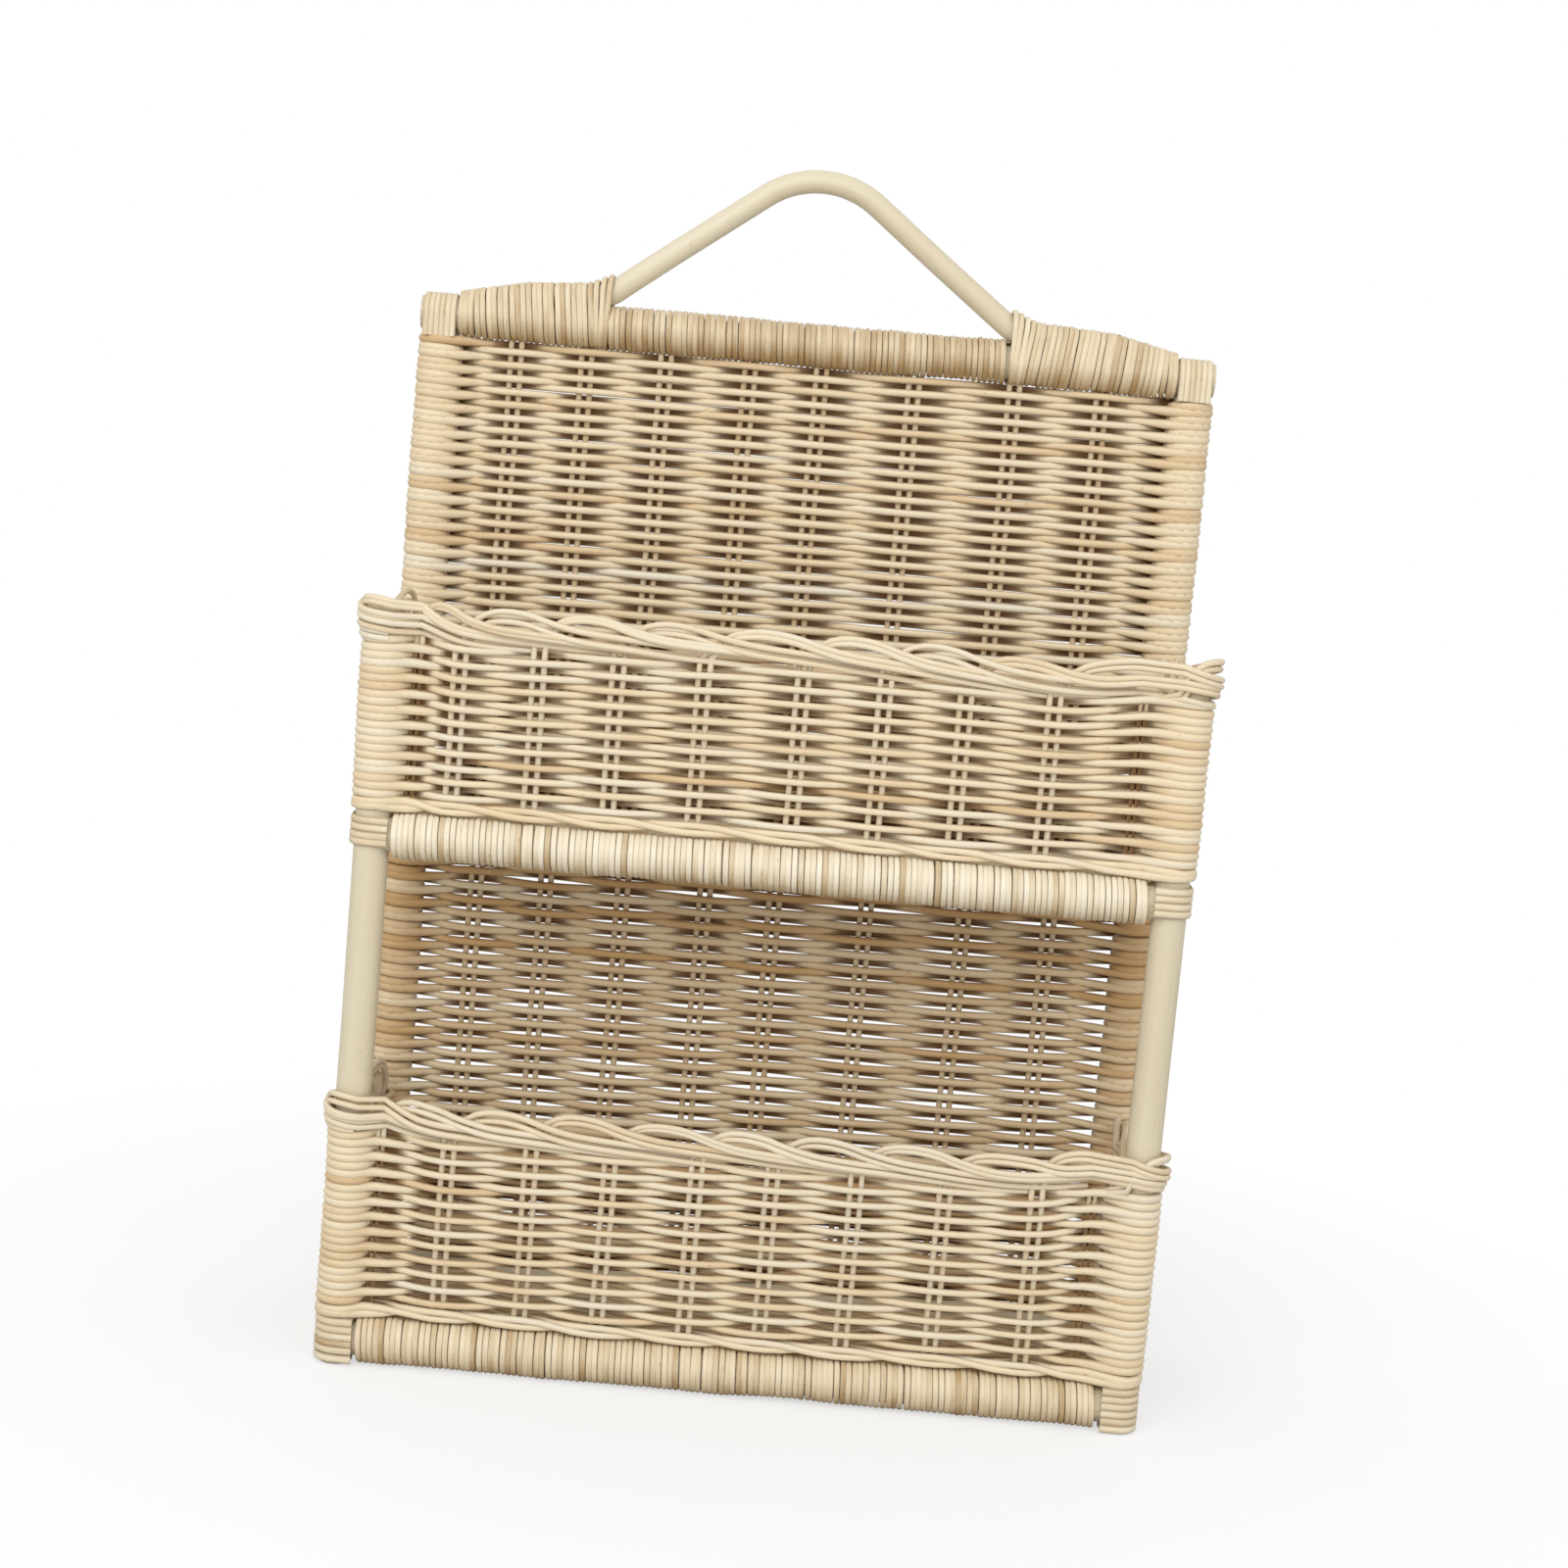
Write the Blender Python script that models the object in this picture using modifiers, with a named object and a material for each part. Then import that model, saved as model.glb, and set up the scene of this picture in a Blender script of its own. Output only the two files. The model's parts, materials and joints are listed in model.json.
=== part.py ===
"""Two-tier rattan wall basket: a pole frame, a woven back and two woven pockets with plaited rims.

The basket stands in metres with +Z up. The origin lies on the ground below the middle of the basket,
+X is to the viewer's right and -Y faces the viewer, so the back panel is on the +Y side.
The frame is made of straight poles. Paired stakes stand between its rails. One flat weaver makes each
panel: it runs to and fro over and under the stakes and turns round the pole at each end of a row.
The rim of a pocket is plaited from four strands, and every stake of the pocket ends in one of them.
"""

import math
from dataclasses import dataclass

import bmesh
import bpy
from mathutils import Vector

# Frame
POST_SPACING_WIDE = 0.327      # left post centre to right post centre
POST_SPACING_DEEP = 0.1046     # front post centre to back post centre
POLE_DIAMETER = 0.0145
REAR_RAIL_DIAMETER = 0.010
BASE_RAIL_HEIGHT = 0.010       # rail centres above the ground
BASE_SIDE_RAIL_HEIGHT = 0.012
SHELF_RAIL_HEIGHT = 0.2235
TOP_RAIL_HEIGHT = 0.437
TOP_RAIL_OVERHANG = 0.009      # past the centres of the back posts
CLEARANCE = 0.0003             # between neighbouring pieces

# Handle
HANDLE_DIAMETER = 0.010
HANDLE_RISE = 0.0698           # rod centre at the peak above the top rail's centre
HANDLE_HALF_SPAN = 0.0895      # peak to the place where a leg meets its foot
HANDLE_SHIFT = -0.004          # peak from the middle of the rail
HANDLE_PEAK_RADIUS = 0.040
HANDLE_BEND_RADIUS = 0.018
HANDLE_END_INSET = 0.0045      # foot's end from the place where its binding starts to taper

# Cane bindings and lashings
BINDING_THICKNESS = 0.0022
FOOT_BINDING_TAPER = 0.022
FOOT_BINDING_INSET = 0.0035    # past the bend towards the middle
STRAP_WIDTH = 0.014
STRAP_THICKNESS = 0.0014
STRAP_SHIFT = 0.0005           # strap's middle outside the post's centre
LASHING_TURNS = 3
LASHING_PITCH = 0.0036
LASHING_THICKNESS = 0.0016
LASHING_GROOVE = 0.0007        # depth of the grooves between the turns
SHELF_LASHING_LIFT = 0.0015    # lashing's middle above the shelf rail's centre

# Stakes and weavers
STAKE_DIAMETER = 0.0026
STAKE_PAIR_SPACING = 0.0045
END_STAKE_DIAMETER = 0.0045    # single stake beside each back post
CORNER_STAKE_INSET = 0.001
WEAVER_PITCH = 0.0076
WEAVER_THICKNESS = 0.0026
BEARER_DIAMETER = 0.004
FLOOR_BEARERS = 6
FLOOR_WEAVER_PITCH = 0.0096
BACK_STAKE_SHARES = (-0.80, -0.61, -0.40, -0.175, 0.015, 0.265, 0.53, 0.765)
UPPER_STAKE_SHARES = (-0.81, -0.615, -0.42, -0.205, 0.04, 0.245, 0.445, 0.665)
UPPER_CORNER_SHARES = (-0.917, 0.885)
LOWER_STAKE_SHARES = (-0.75, -0.54, -0.34, -0.12, 0.075, 0.285, 0.51, 0.745)
LOWER_CORNER_SHARES = (-0.925, 0.885)
SIDE_STAKE_SHARES = (1 / 3, 2 / 3)

# Pocket rims
UPPER_RIM_HEIGHT = 0.318       # top of the plait at the corners
UPPER_RIM_CROWN = 0.004        # rise of the rim at mid-span
LOWER_RIM_HEIGHT = 0.1135
LOWER_RIM_CROWN = 0.001
RIM_STRANDS = 4
RIM_STRAND_HEIGHT = 0.0054
RIM_LANE_REACH = 0.0046        # outermost strand centre from the stakes
RIM_LANE_DROP = 0.0062         # highest and lowest strand centre from the middle of the rim
RIM_POST_SQUEEZE_SHARE = 0.55  # how far the lanes stay apart beside a post
# A strand's way from one of its stakes to the next: stake gaps passed, share of reach, share of drop
RIM_PATH_SHARES = (
    (0, -0.15, -0.74),
    (1 / 2, -0.48, 0),
    (1, -0.39, 0.74),
    (3 / 2, 0.33, 1),
    (2, 0.87, 0.55),
    (5 / 2, 1, -0.24),
    (3, 1, -0.90),
    (7 / 2, 0.26, -0.97),
    (4, -0.15, -0.74),
)

# Facets
POLE_SIDES = 16
BINDING_SIDES = 12
BEARER_SIDES = 6
PEAR_SIDES = 16
OUTLINE_STEPS = 6
ROD_RESOLUTION = 1
HANDLE_RESOLUTION = 2
HANDLE_BEND_STEPS = 5
STAKE_BEND_STEPS = 1
LASHING_STEPS = 3
POST_TURN_STEPS = 4
STAKE_TURN_STEPS = 3
FRONT_TURN_STEPS = 2
RIM_TURN_STEPS = 3
FITTING_STEPS = 8

# Derived sizes
POLE_RADIUS = POLE_DIAMETER / 2
BINDING_INNER = POLE_RADIUS + CLEARANCE
BINDING_OUTER = BINDING_INNER + BINDING_THICKNESS
REAR_RAIL_RADIUS = REAR_RAIL_DIAMETER / 2
HANDLE_RADIUS = HANDLE_DIAMETER / 2
STAKE_RADIUS = STAKE_DIAMETER / 2
BEARER_RADIUS = BEARER_DIAMETER / 2
WEAVER_HALF = WEAVER_THICKNESS / 2
LEFT, RIGHT = -1, 1
HALF_WIDE = POST_SPACING_WIDE / 2
FRONT = -POST_SPACING_DEEP / 2
BACK = POST_SPACING_DEEP / 2
WRAP_RADIUS = POLE_RADIUS + CLEARANCE + WEAVER_HALF
END_WRAP_RADIUS = END_STAKE_DIAMETER / 2 + CLEARANCE + WEAVER_HALF
LASHING_REACH = POLE_RADIUS + CLEARANCE + LASHING_THICKNESS
HANDLE_FOOT_RISE = POLE_RADIUS + CLEARANCE + HANDLE_RADIUS
RIM_HALF_HEIGHT = RIM_LANE_DROP + RIM_STRAND_HEIGHT / 2
RIM_INNER_LANE = RIM_LANE_REACH * min(reach for _, reach, _ in RIM_PATH_SHARES)
WEAVE_TOP = TOP_RAIL_HEIGHT - BINDING_OUTER - CLEARANCE
WELD_DISTANCE = CLEARANCE / 100

# Angles
RIM_CORNER_SWEEP = math.radians(192)
END_TURN_HALF_STEP = math.radians(36)
SHARP_ANGLE = math.radians(30)

COLOURS = {
    "pole": (0.74, 0.64, 0.43, 1.0),
    "binding": (0.66, 0.50, 0.30, 1.0),
    "weaver": (0.68, 0.54, 0.33, 1.0),
    "stake": (0.58, 0.43, 0.25, 1.0),
}
ROUGHNESS = {"pole": 0.42, "binding": 0.5, "weaver": 0.62, "stake": 0.68}

SIDES = {"left": LEFT, "right": RIGHT}


def clear_scene():
    """Removes the objects that a new file starts with."""
    for item in list(bpy.data.objects):
        bpy.data.objects.remove(item, do_unlink=True)


def new_collection(name):
    """A collection linked to the scene."""
    group = bpy.data.collections.new(name)
    bpy.context.scene.collection.children.link(group)
    return group


def make_material(name, finish):
    """Principled material in one of the finishes above."""
    material = bpy.data.materials.new(name)
    material.use_nodes = True
    shader = material.node_tree.nodes["Principled BSDF"]
    shader.inputs["Base Color"].default_value = COLOURS[finish]
    shader.inputs["Roughness"].default_value = ROUGHNESS[finish]
    shader.inputs["Metallic"].default_value = 0
    material.diffuse_color = COLOURS[finish]
    return material


def move_to(item, group):
    """Takes an object out of its collections and puts it into one."""
    for owner in list(item.users_collection):
        owner.objects.unlink(item)
    group.objects.link(item)


def finish_part(item, name, finish):
    """Names an object, gives it its material and files it with the basket's parts."""
    item.name = name
    item.data.name = name
    item.data.materials.append(make_material(name, finish))
    move_to(item, PARTS)
    if item.type == "MESH":
        item.data.shade_smooth()
        item.data.set_sharp_from_angle(angle=SHARP_ANGLE)
    return item


def hide_guide(item, name):
    """Files a cutter or a profile with the guides, out of every render."""
    item.name = name
    item.hide_render = True
    item.display_type = "WIRE"
    move_to(item, GUIDES)
    return item


def cylinder(radius, start, end, sides=POLE_SIDES):
    """Cylinder between two points."""
    start, end = Vector(start), Vector(end)
    run = end - start
    bpy.ops.mesh.primitive_cylinder_add(vertices=sides, radius=radius, depth=run.length)
    item = bpy.context.object
    turn = run.to_track_quat("Z", "Y").to_matrix().to_4x4()
    turn.translation = (start + end) / 2
    item.matrix_world = turn
    return item


def add_boolean(item, other, operation):
    """Cuts another solid out of an object, or joins it on, with a live Boolean modifier."""
    change = item.modifiers.new(other.name, "BOOLEAN")
    change.operation = operation
    change.solver = "EXACT"
    change.object = other


def post_cutter(side, y):
    """Cutter with the outline of one post and its clearance."""
    top = TOP_RAIL_HEIGHT + BINDING_OUTER
    item = cylinder(BINDING_INNER, (side * HALF_WIDE, y, -BINDING_OUTER), (side * HALF_WIDE, y, top))
    return hide_guide(item, "post_cutter")


def sleeve(name, start, end):
    """Tube of binding around a rail: a rectangle turned about the rail's line."""
    start, end = Vector(start), Vector(end)
    half = (end - start).length / 2
    outer, inner = BINDING_OUTER, BINDING_INNER
    ring = [(outer, 0, half), (outer, 0, -half), (inner, 0, -half), (inner, 0, half)]
    mesh = bpy.data.meshes.new(name)
    mesh.from_pydata(ring, [(0, 1), (1, 2), (2, 3), (3, 0)], [])
    item = bpy.data.objects.new(name, mesh)
    PARTS.objects.link(item)
    turn = (end - start).to_track_quat("Z", "Y").to_matrix().to_4x4()
    turn.translation = (start + end) / 2
    item.matrix_world = turn
    screw = item.modifiers.new("turn", "SCREW")
    screw.steps = screw.render_steps = BINDING_SIDES
    screw.merge_threshold = WELD_DISTANCE
    return finish_part(item, name, "binding")


def new_curve(name, dimensions, routes, cyclic):
    """Curve object with one straight-sided spline for each route."""
    curve = bpy.data.curves.new(name, "CURVE")
    curve.dimensions = dimensions
    for route in routes:
        spline = curve.splines.new("POLY")
        spline.points.add(len(route) - 1)
        for point, place in zip(spline.points, route):
            point.co = (*place, 1)
        spline.use_cyclic_u = cyclic
    item = bpy.data.objects.new(name, curve)
    PARTS.objects.link(item)
    return item


def rods(name, routes, radius, resolution=ROD_RESOLUTION):
    """Round rods along routes, one spline each."""
    item = new_curve(name, "3D", routes, False)
    item.data.bevel_depth = radius
    item.data.bevel_resolution = resolution
    item.data.use_fill_caps = True
    return item


def strand(name, route, profile):
    """Flat strand along a route, its section kept upright."""
    item = new_curve(name, "3D", [route], False)
    item.data.bevel_mode = "OBJECT"
    item.data.bevel_object = profile
    item.data.twist_mode = "Z_UP"
    item.data.use_fill_caps = True
    return item


def strand_profile(name, thickness, height):
    """Lens-like section of a strand, thin at its upper and lower edges."""
    corners = [(thickness / 2, 0, 0), (0, -height / 2, 0), (-thickness / 2, 0, 0), (0, height / 2, 0)]
    return hide_guide(new_curve(name, "2D", [corners], True), name)


def lashing_profile():
    """Section through the turns of a lashing: flat against the post, ridged outside."""
    half = LASHING_THICKNESS / 2
    groove = half - LASHING_GROOVE
    bottom = -LASHING_TURNS * LASHING_PITCH / 2
    corners = [(-half, -bottom, 0), (-half, bottom, 0), (groove, bottom, 0)]
    for turn in range(LASHING_TURNS):
        corners.append((half, bottom + (turn + 1 / 2) * LASHING_PITCH, 0))
        corners.append((groove, bottom + (turn + 1) * LASHING_PITCH, 0))
    return hide_guide(new_curve("lashing_profile", "2D", [corners[::-1]], True), "lashing_profile")


def curve_to_mesh(item):
    """Replaces a curve object by a mesh object whose caps are welded on."""
    bpy.context.view_layer.update()
    depsgraph = bpy.context.evaluated_depsgraph_get()
    mesh = bpy.data.meshes.new_from_object(item.evaluated_get(depsgraph))
    welded = bmesh.new()
    welded.from_mesh(mesh)
    bmesh.ops.remove_doubles(welded, verts=welded.verts, dist=WELD_DISTANCE)
    welded.to_mesh(mesh)
    welded.free()
    solid = bpy.data.objects.new(item.name, mesh)
    PARTS.objects.link(solid)
    solid.matrix_world = item.matrix_world
    bpy.data.objects.remove(item, do_unlink=True)
    return solid


def rounded_route(corners, radii, steps):
    """Plane route through corners, each rounded by an arc of its own radius."""
    route = [Vector(corners[0])]
    for before, corner, after, radius in zip(corners, corners[1:], corners[2:], radii):
        corner = Vector(corner)
        inward = (Vector(before) - corner).normalized()
        outward = (Vector(after) - corner).normalized()
        half_angle = inward.angle(outward) / 2
        centre = corner + (inward + outward).normalized() * radius / math.sin(half_angle)
        start = corner + inward * radius / math.tan(half_angle) - centre
        end = corner + outward * radius / math.tan(half_angle) - centre
        route += [centre + start.slerp(end, step / steps) * radius for step in range(steps + 1)]
    route.append(Vector(corners[-1]))
    return route


def build_posts():
    """Four posts. The back pair is notched to seat the top rail, the front pair ends within the rim."""
    reach = POST_SPACING_WIDE
    notch = cylinder(BINDING_INNER, (-reach, BACK, TOP_RAIL_HEIGHT), (reach, BACK, TOP_RAIL_HEIGHT))
    hide_guide(notch, "top_rail_cutter")
    for word, side in SIDES.items():
        x = side * HALF_WIDE
        front_post = cylinder(POLE_RADIUS, (x, FRONT, 0), (x, FRONT, UPPER_RIM_HEIGHT - RIM_HALF_HEIGHT))
        finish_part(front_post, f"front_post_{word}", "pole")
        back_post = cylinder(POLE_RADIUS, (x, BACK, 0), (x, BACK, TOP_RAIL_HEIGHT))
        add_boolean(back_post, notch, "DIFFERENCE")
        finish_part(back_post, f"back_post_{word}", "pole")


def build_rails(back_reach):
    """Long rails hollowed to fit the posts, side rails between them, and the top rail across the back."""
    long_rails = (("base_rail_front", FRONT, BASE_RAIL_HEIGHT), ("base_rail_rear", BACK, BASE_RAIL_HEIGHT),
                  ("shelf_rail_front", FRONT, SHELF_RAIL_HEIGHT))
    for name, y, height in long_rails:
        rail = cylinder(POLE_RADIUS, (-HALF_WIDE, y, height), (HALF_WIDE, y, height))
        for side in SIDES.values():
            add_boolean(rail, post_cutter(side, y), "DIFFERENCE")
        finish_part(rail, name, "pole")
    front_end = FRONT + POLE_RADIUS + CLEARANCE
    side_rails = (("base", BASE_SIDE_RAIL_HEIGHT, BACK - POLE_RADIUS - CLEARANCE),
                  ("shelf", SHELF_RAIL_HEIGHT, BACK - back_reach - CLEARANCE))
    for level, height, rear_end in side_rails:
        for word, side in SIDES.items():
            x = side * HALF_WIDE
            side_rail = cylinder(POLE_RADIUS, (x, front_end, height), (x, rear_end, height))
            finish_part(side_rail, f"{level}_rail_{word}", "pole")
    reach = HALF_WIDE - POLE_RADIUS - CLEARANCE
    y = shelf_rear_place(back_reach)
    ends = ((-reach, y, SHELF_RAIL_HEIGHT), (reach, y, SHELF_RAIL_HEIGHT))
    shelf_rear = cylinder(REAR_RAIL_RADIUS, *ends, BINDING_SIDES)
    finish_part(shelf_rear, "shelf_rail_rear", "pole")
    end = HALF_WIDE + TOP_RAIL_OVERHANG
    top_rail = cylinder(POLE_RADIUS, (-end, BACK, TOP_RAIL_HEIGHT), (end, BACK, TOP_RAIL_HEIGHT))
    finish_part(top_rail, "top_rail", "pole")


def shelf_rear_place(back_reach):
    """Y of the shelf's rear rail, which lies between the side rails in front of the wrapped posts."""
    return BACK - back_reach - CLEARANCE - REAR_RAIL_RADIUS


def handle_corner_rise():
    """Rise of the point where the straight legs would meet, so that the rounded peak is at its height."""
    rise = HANDLE_RISE - HANDLE_FOOT_RISE
    corner = rise
    for _ in range(FITTING_STEPS):
        slope = math.atan2(corner, HANDLE_HALF_SPAN)
        corner = rise + HANDLE_PEAK_RADIUS * (1 / math.cos(slope) - 1)
    return corner


def build_handle():
    """Bent rod: two feet along the top rail, two straight legs and a round peak."""
    foot_end = HALF_WIDE - BINDING_INNER - FOOT_BINDING_TAPER - HANDLE_END_INSET
    corners = [
        (-foot_end, 0),
        (HANDLE_SHIFT - HANDLE_HALF_SPAN, 0),
        (HANDLE_SHIFT, handle_corner_rise()),
        (HANDLE_SHIFT + HANDLE_HALF_SPAN, 0),
        (foot_end, 0),
    ]
    radii = (HANDLE_BEND_RADIUS, HANDLE_PEAK_RADIUS, HANDLE_BEND_RADIUS)
    plane = rounded_route(corners, radii, HANDLE_BEND_STEPS)
    route = [(x, BACK, TOP_RAIL_HEIGHT + HANDLE_FOOT_RISE + z) for x, z in plane]
    finish_part(rods("handle", [route], HANDLE_RADIUS, HANDLE_RESOLUTION), "handle", "pole")


def pear_outline(rod_height, rod_radius, offset, hollow):
    """Closed outline round the rail and a rod above it: each point is the outermost one on its bearing.

    Round a hollow the points lie further out, so that the chords clear what it holds.
    """
    step = 2 * math.pi / PEAR_SIDES
    stretch = 1 / math.cos(step / 2) if hollow else 1
    outline = []
    for index in range(PEAR_SIDES):
        ahead, up = math.cos(step * index), math.sin(step * index)
        circles = ((POLE_RADIUS + offset, 0), (rod_radius + offset, rod_height))
        radius, rise = max(circles, key=lambda circle: circle[0] + circle[1] * up)
        outline.append((radius * stretch * ahead, rise + radius * stretch * up))
    return outline


def foot_binding_stations(side):
    """Sections of a foot's binding from its inner end to the post: X, rod height and rod radius."""
    slope = math.atan2(handle_corner_rise(), HANDLE_HALF_SPAN)
    bend_start = HANDLE_HALF_SPAN + HANDLE_BEND_RADIUS * math.tan(slope / 2)
    run = bend_start - HANDLE_HALF_SPAN + FOOT_BINDING_INSET
    turned = math.asin(run / HANDLE_BEND_RADIUS)
    lifted = HANDLE_FOOT_RISE + HANDLE_BEND_RADIUS * (1 - math.cos(turned))
    outer_end = side * (HALF_WIDE - POLE_RADIUS - CLEARANCE)
    tip_height = POLE_RADIUS / 2
    inner_end = HANDLE_SHIFT + side * (HANDLE_HALF_SPAN - FOOT_BINDING_INSET)
    return (
        (inner_end, lifted, HANDLE_RADIUS / math.cos(turned)),
        (HANDLE_SHIFT + side * bend_start, HANDLE_FOOT_RISE, HANDLE_RADIUS),
        (outer_end - side * FOOT_BINDING_TAPER, HANDLE_FOOT_RISE, HANDLE_RADIUS),
        (outer_end, tip_height, POLE_RADIUS - tip_height * math.cos(slope)),
    )


def build_foot_bindings():
    """Binding that holds a foot of the handle down on the rail: a hollow loft that tapers outwards."""
    for word, side in SIDES.items():
        outer, inner = [], []
        for x, height, radius in foot_binding_stations(side):
            for loops, offset in ((outer, CLEARANCE + BINDING_THICKNESS), (inner, CLEARANCE)):
                outline = pear_outline(height, radius, offset, loops is inner)
                loops.append([(x, BACK + y, TOP_RAIL_HEIGHT + z) for y, z in outline])
        loft_ring(f"handle_binding_{word}", outer + inner[::-1], side)


def loft_ring(name, loops, side):
    """Closed skin through equal loops, the last joined to the first again."""
    count = len(loops[0])
    vertices = [place for loop in loops for place in loop]
    faces = []
    for index in range(len(loops)):
        here, there = index * count, (index + 1) % len(loops) * count
        for step in range(count):
            after = (step + 1) % count
            face = (here + step, here + after, there + after, there + step)
            faces.append(face if side == RIGHT else face[::-1])
    mesh = bpy.data.meshes.new(name)
    mesh.from_pydata(vertices, [], faces)
    item = bpy.data.objects.new(name, mesh)
    PARTS.objects.link(item)
    return finish_part(item, name, "binding")


def build_rail_bindings():
    """Cane wound round the front rails and the middle of the top rail."""
    half = HANDLE_HALF_SPAN - FOOT_BINDING_INSET - CLEARANCE
    ends = [(HANDLE_SHIFT + side * half, BACK, TOP_RAIL_HEIGHT) for side in (LEFT, RIGHT)]
    sleeve("top_rail_binding", *ends)
    reach = HALF_WIDE - LASHING_REACH - CLEARANCE
    for level, height in (("base", BASE_RAIL_HEIGHT), ("shelf", SHELF_RAIL_HEIGHT)):
        sleeve(f"{level}_rail_binding", (-reach, FRONT, height), (reach, FRONT, height))


def build_post_straps():
    """Cane laid over the top rail and down both sides of each back post."""
    inner = BINDING_INNER
    outer = inner + STRAP_THICKNESS
    foot = WEAVE_TOP - TOP_RAIL_HEIGHT + CLEARANCE
    arc = [math.pi * step / OUTLINE_STEPS for step in range(OUTLINE_STEPS + 1)]
    outline = [(outer, foot)]
    outline += [(outer * math.cos(angle), outer * math.sin(angle)) for angle in arc]
    outline += [(-outer, foot), (-inner, foot)]
    outline += [(-inner * math.cos(angle), inner * math.sin(angle)) for angle in arc]
    outline.append((inner, foot))
    places = [(BACK + y, TOP_RAIL_HEIGHT + z, 0) for y, z in outline]
    for word, side in SIDES.items():
        item = new_curve(f"post_strap_{word}", "2D", [places], True)
        item.data.fill_mode = "BOTH"
        item.data.extrude = STRAP_WIDTH / 2
        item.rotation_euler = (math.pi / 2, 0, math.pi / 2)
        item.location = (side * (HALF_WIDE + STRAP_SHIFT), 0, 0)
        finish_part(item, f"post_strap_{word}", "binding")


def build_lashings():
    """Turns of cane round each front post where the rails meet it, over the ends of both rails."""
    radius = POLE_RADIUS + CLEARANCE + LASHING_THICKNESS / 2
    profile = lashing_profile()
    arc = [math.pi / 2 * step / LASHING_STEPS for step in range(LASHING_STEPS + 1)]
    plan = [(radius, POLE_RADIUS)]
    plan += [(radius * math.cos(angle), -radius * math.sin(angle)) for angle in arc]
    plan.append((-POLE_RADIUS, -radius))
    levels = (("base", BASE_RAIL_HEIGHT), ("shelf", SHELF_RAIL_HEIGHT + SHELF_LASHING_LIFT))
    for level, height in levels:
        for word, side in SIDES.items():
            route = [(side * (HALF_WIDE + x), FRONT + y, height) for x, y in plan[::-side]]
            finish_part(strand("lashing", route, profile), f"{level}_lashing_{word}", "binding")


def crest_offset(run, far_offset, around_pole, reach, spread):
    """Distance of a weaver's crest from its stake, so that the slope to its neighbour clears the stake."""
    offset = reach
    for _ in range(FITTING_STEPS):
        rise = offset + far_offset
        slope = rise / math.sqrt(run * run - rise * rise) if around_pole else rise / run
        offset = reach * math.hypot(1, slope) + spread * slope
    return offset


def stake_crests(places, ends, rod_radius=STAKE_RADIUS, spread=STAKE_PAIR_SPACING / 2):
    """Crest offsets of a row of stakes. Each end is the place and wrap radius of what lies past it."""
    reach = rod_radius + WEAVER_HALF + CLEARANCE
    crests = []
    for index, place in enumerate(places):
        offsets = []
        for step, (end_place, end_radius) in zip((-1, 1), ends):
            if 0 <= index + step < len(places):
                run = abs(places[index + step] - place)
                offsets.append(crest_offset(run, reach, False, reach, spread))
            else:
                offsets.append(crest_offset(abs(end_place - place), end_radius, True, reach, spread))
        crests.append(max(offsets))
    return crests


def turn_sweep(distance, radius, crest):
    """Angle through which a weaver bends round an end, coming from and returning to one stake."""
    return math.pi + 2 * math.asin((radius + crest) / distance)


def turn_points(centre, forward, entry, radius, sweep, count):
    """Plan points that carry a strand round a pole, from its entry side past its forward side."""
    step = sweep / count
    outside = radius / math.cos(step / 2)
    points = []
    for index in range(count):
        angle = sweep / 2 - step * (index + 1 / 2)
        ahead, aside = outside * math.cos(angle), outside * math.sin(angle)
        points.append((centre[0] + forward[0] * ahead + entry[0] * aside,
                       centre[1] + forward[1] * ahead + entry[1] * aside))
    return points


def zigzag(places, crests, parity):
    """Places along a panel with offsets that swap sides from stake to stake."""
    return [(place, crest * (1 if (index + parity) % 2 else -1))
            for index, (place, crest) in enumerate(zip(places, crests))]


def running_weave(rows, crossings, turns, height):
    """Route of one weaver that runs to and fro: each row crosses the panel, then turns round its end."""
    left, right = turns
    route = [(*left[-1], height(0, *left[-1]))]
    for row in range(rows):
        plan = crossings(row)
        route += [(x, y, height(row, x, y)) for x, y in (plan[::-1] if row % 2 else plan)]
        corners = left if row % 2 else right
        if row + 1 == rows:
            route.append((*corners[0], height(row, *corners[0])))
            break
        for index, (x, y) in enumerate(corners):
            low, high = height(row, x, y), height(row + 1, x, y)
            route.append((x, y, low + (high - low) * index / (len(corners) - 1)))
    return route


class Panel:
    """Upright woven panel between two poles: a row of stakes and one weaver that turns round both poles."""

    def __init__(self, places, rod_radius, spread):
        ends = ((-HALF_WIDE, WRAP_RADIUS), (HALF_WIDE, WRAP_RADIUS))
        self.places = places
        self.crests = stake_crests(places, ends, rod_radius, spread)
        self.sweeps = [turn_sweep(HALF_WIDE + places[0], WRAP_RADIUS, self.crests[0]),
                       turn_sweep(HALF_WIDE - places[-1], WRAP_RADIUS, self.crests[-1])]

    def reach(self):
        """Distance from a pole's centre to the outside of the weaver wrapped round it."""
        return WRAP_RADIUS / math.cos(max(self.sweeps) / POST_TURN_STEPS / 2) + WEAVER_HALF

    def weave(self, name, length, widest_pitch, profile):
        """One weaver in as many rows as the length takes."""
        rows = int(length / widest_pitch)
        pitch = length / rows
        last_entry = LEFT if len(self.places) % 2 else RIGHT
        turns = [turn_points((side * HALF_WIDE, 0), (side, 0), (0, entry), WRAP_RADIUS, sweep,
                             POST_TURN_STEPS)
                 for side, entry, sweep in zip((LEFT, RIGHT), (RIGHT, last_entry), self.sweeps)]
        route = running_weave(rows, lambda row: zigzag(self.places, self.crests, row + 1), turns,
                              lambda row, x, y: (row + 1 / 2) * pitch)
        return finish_part(strand(name, route, profile), name, "weaver")


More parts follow.
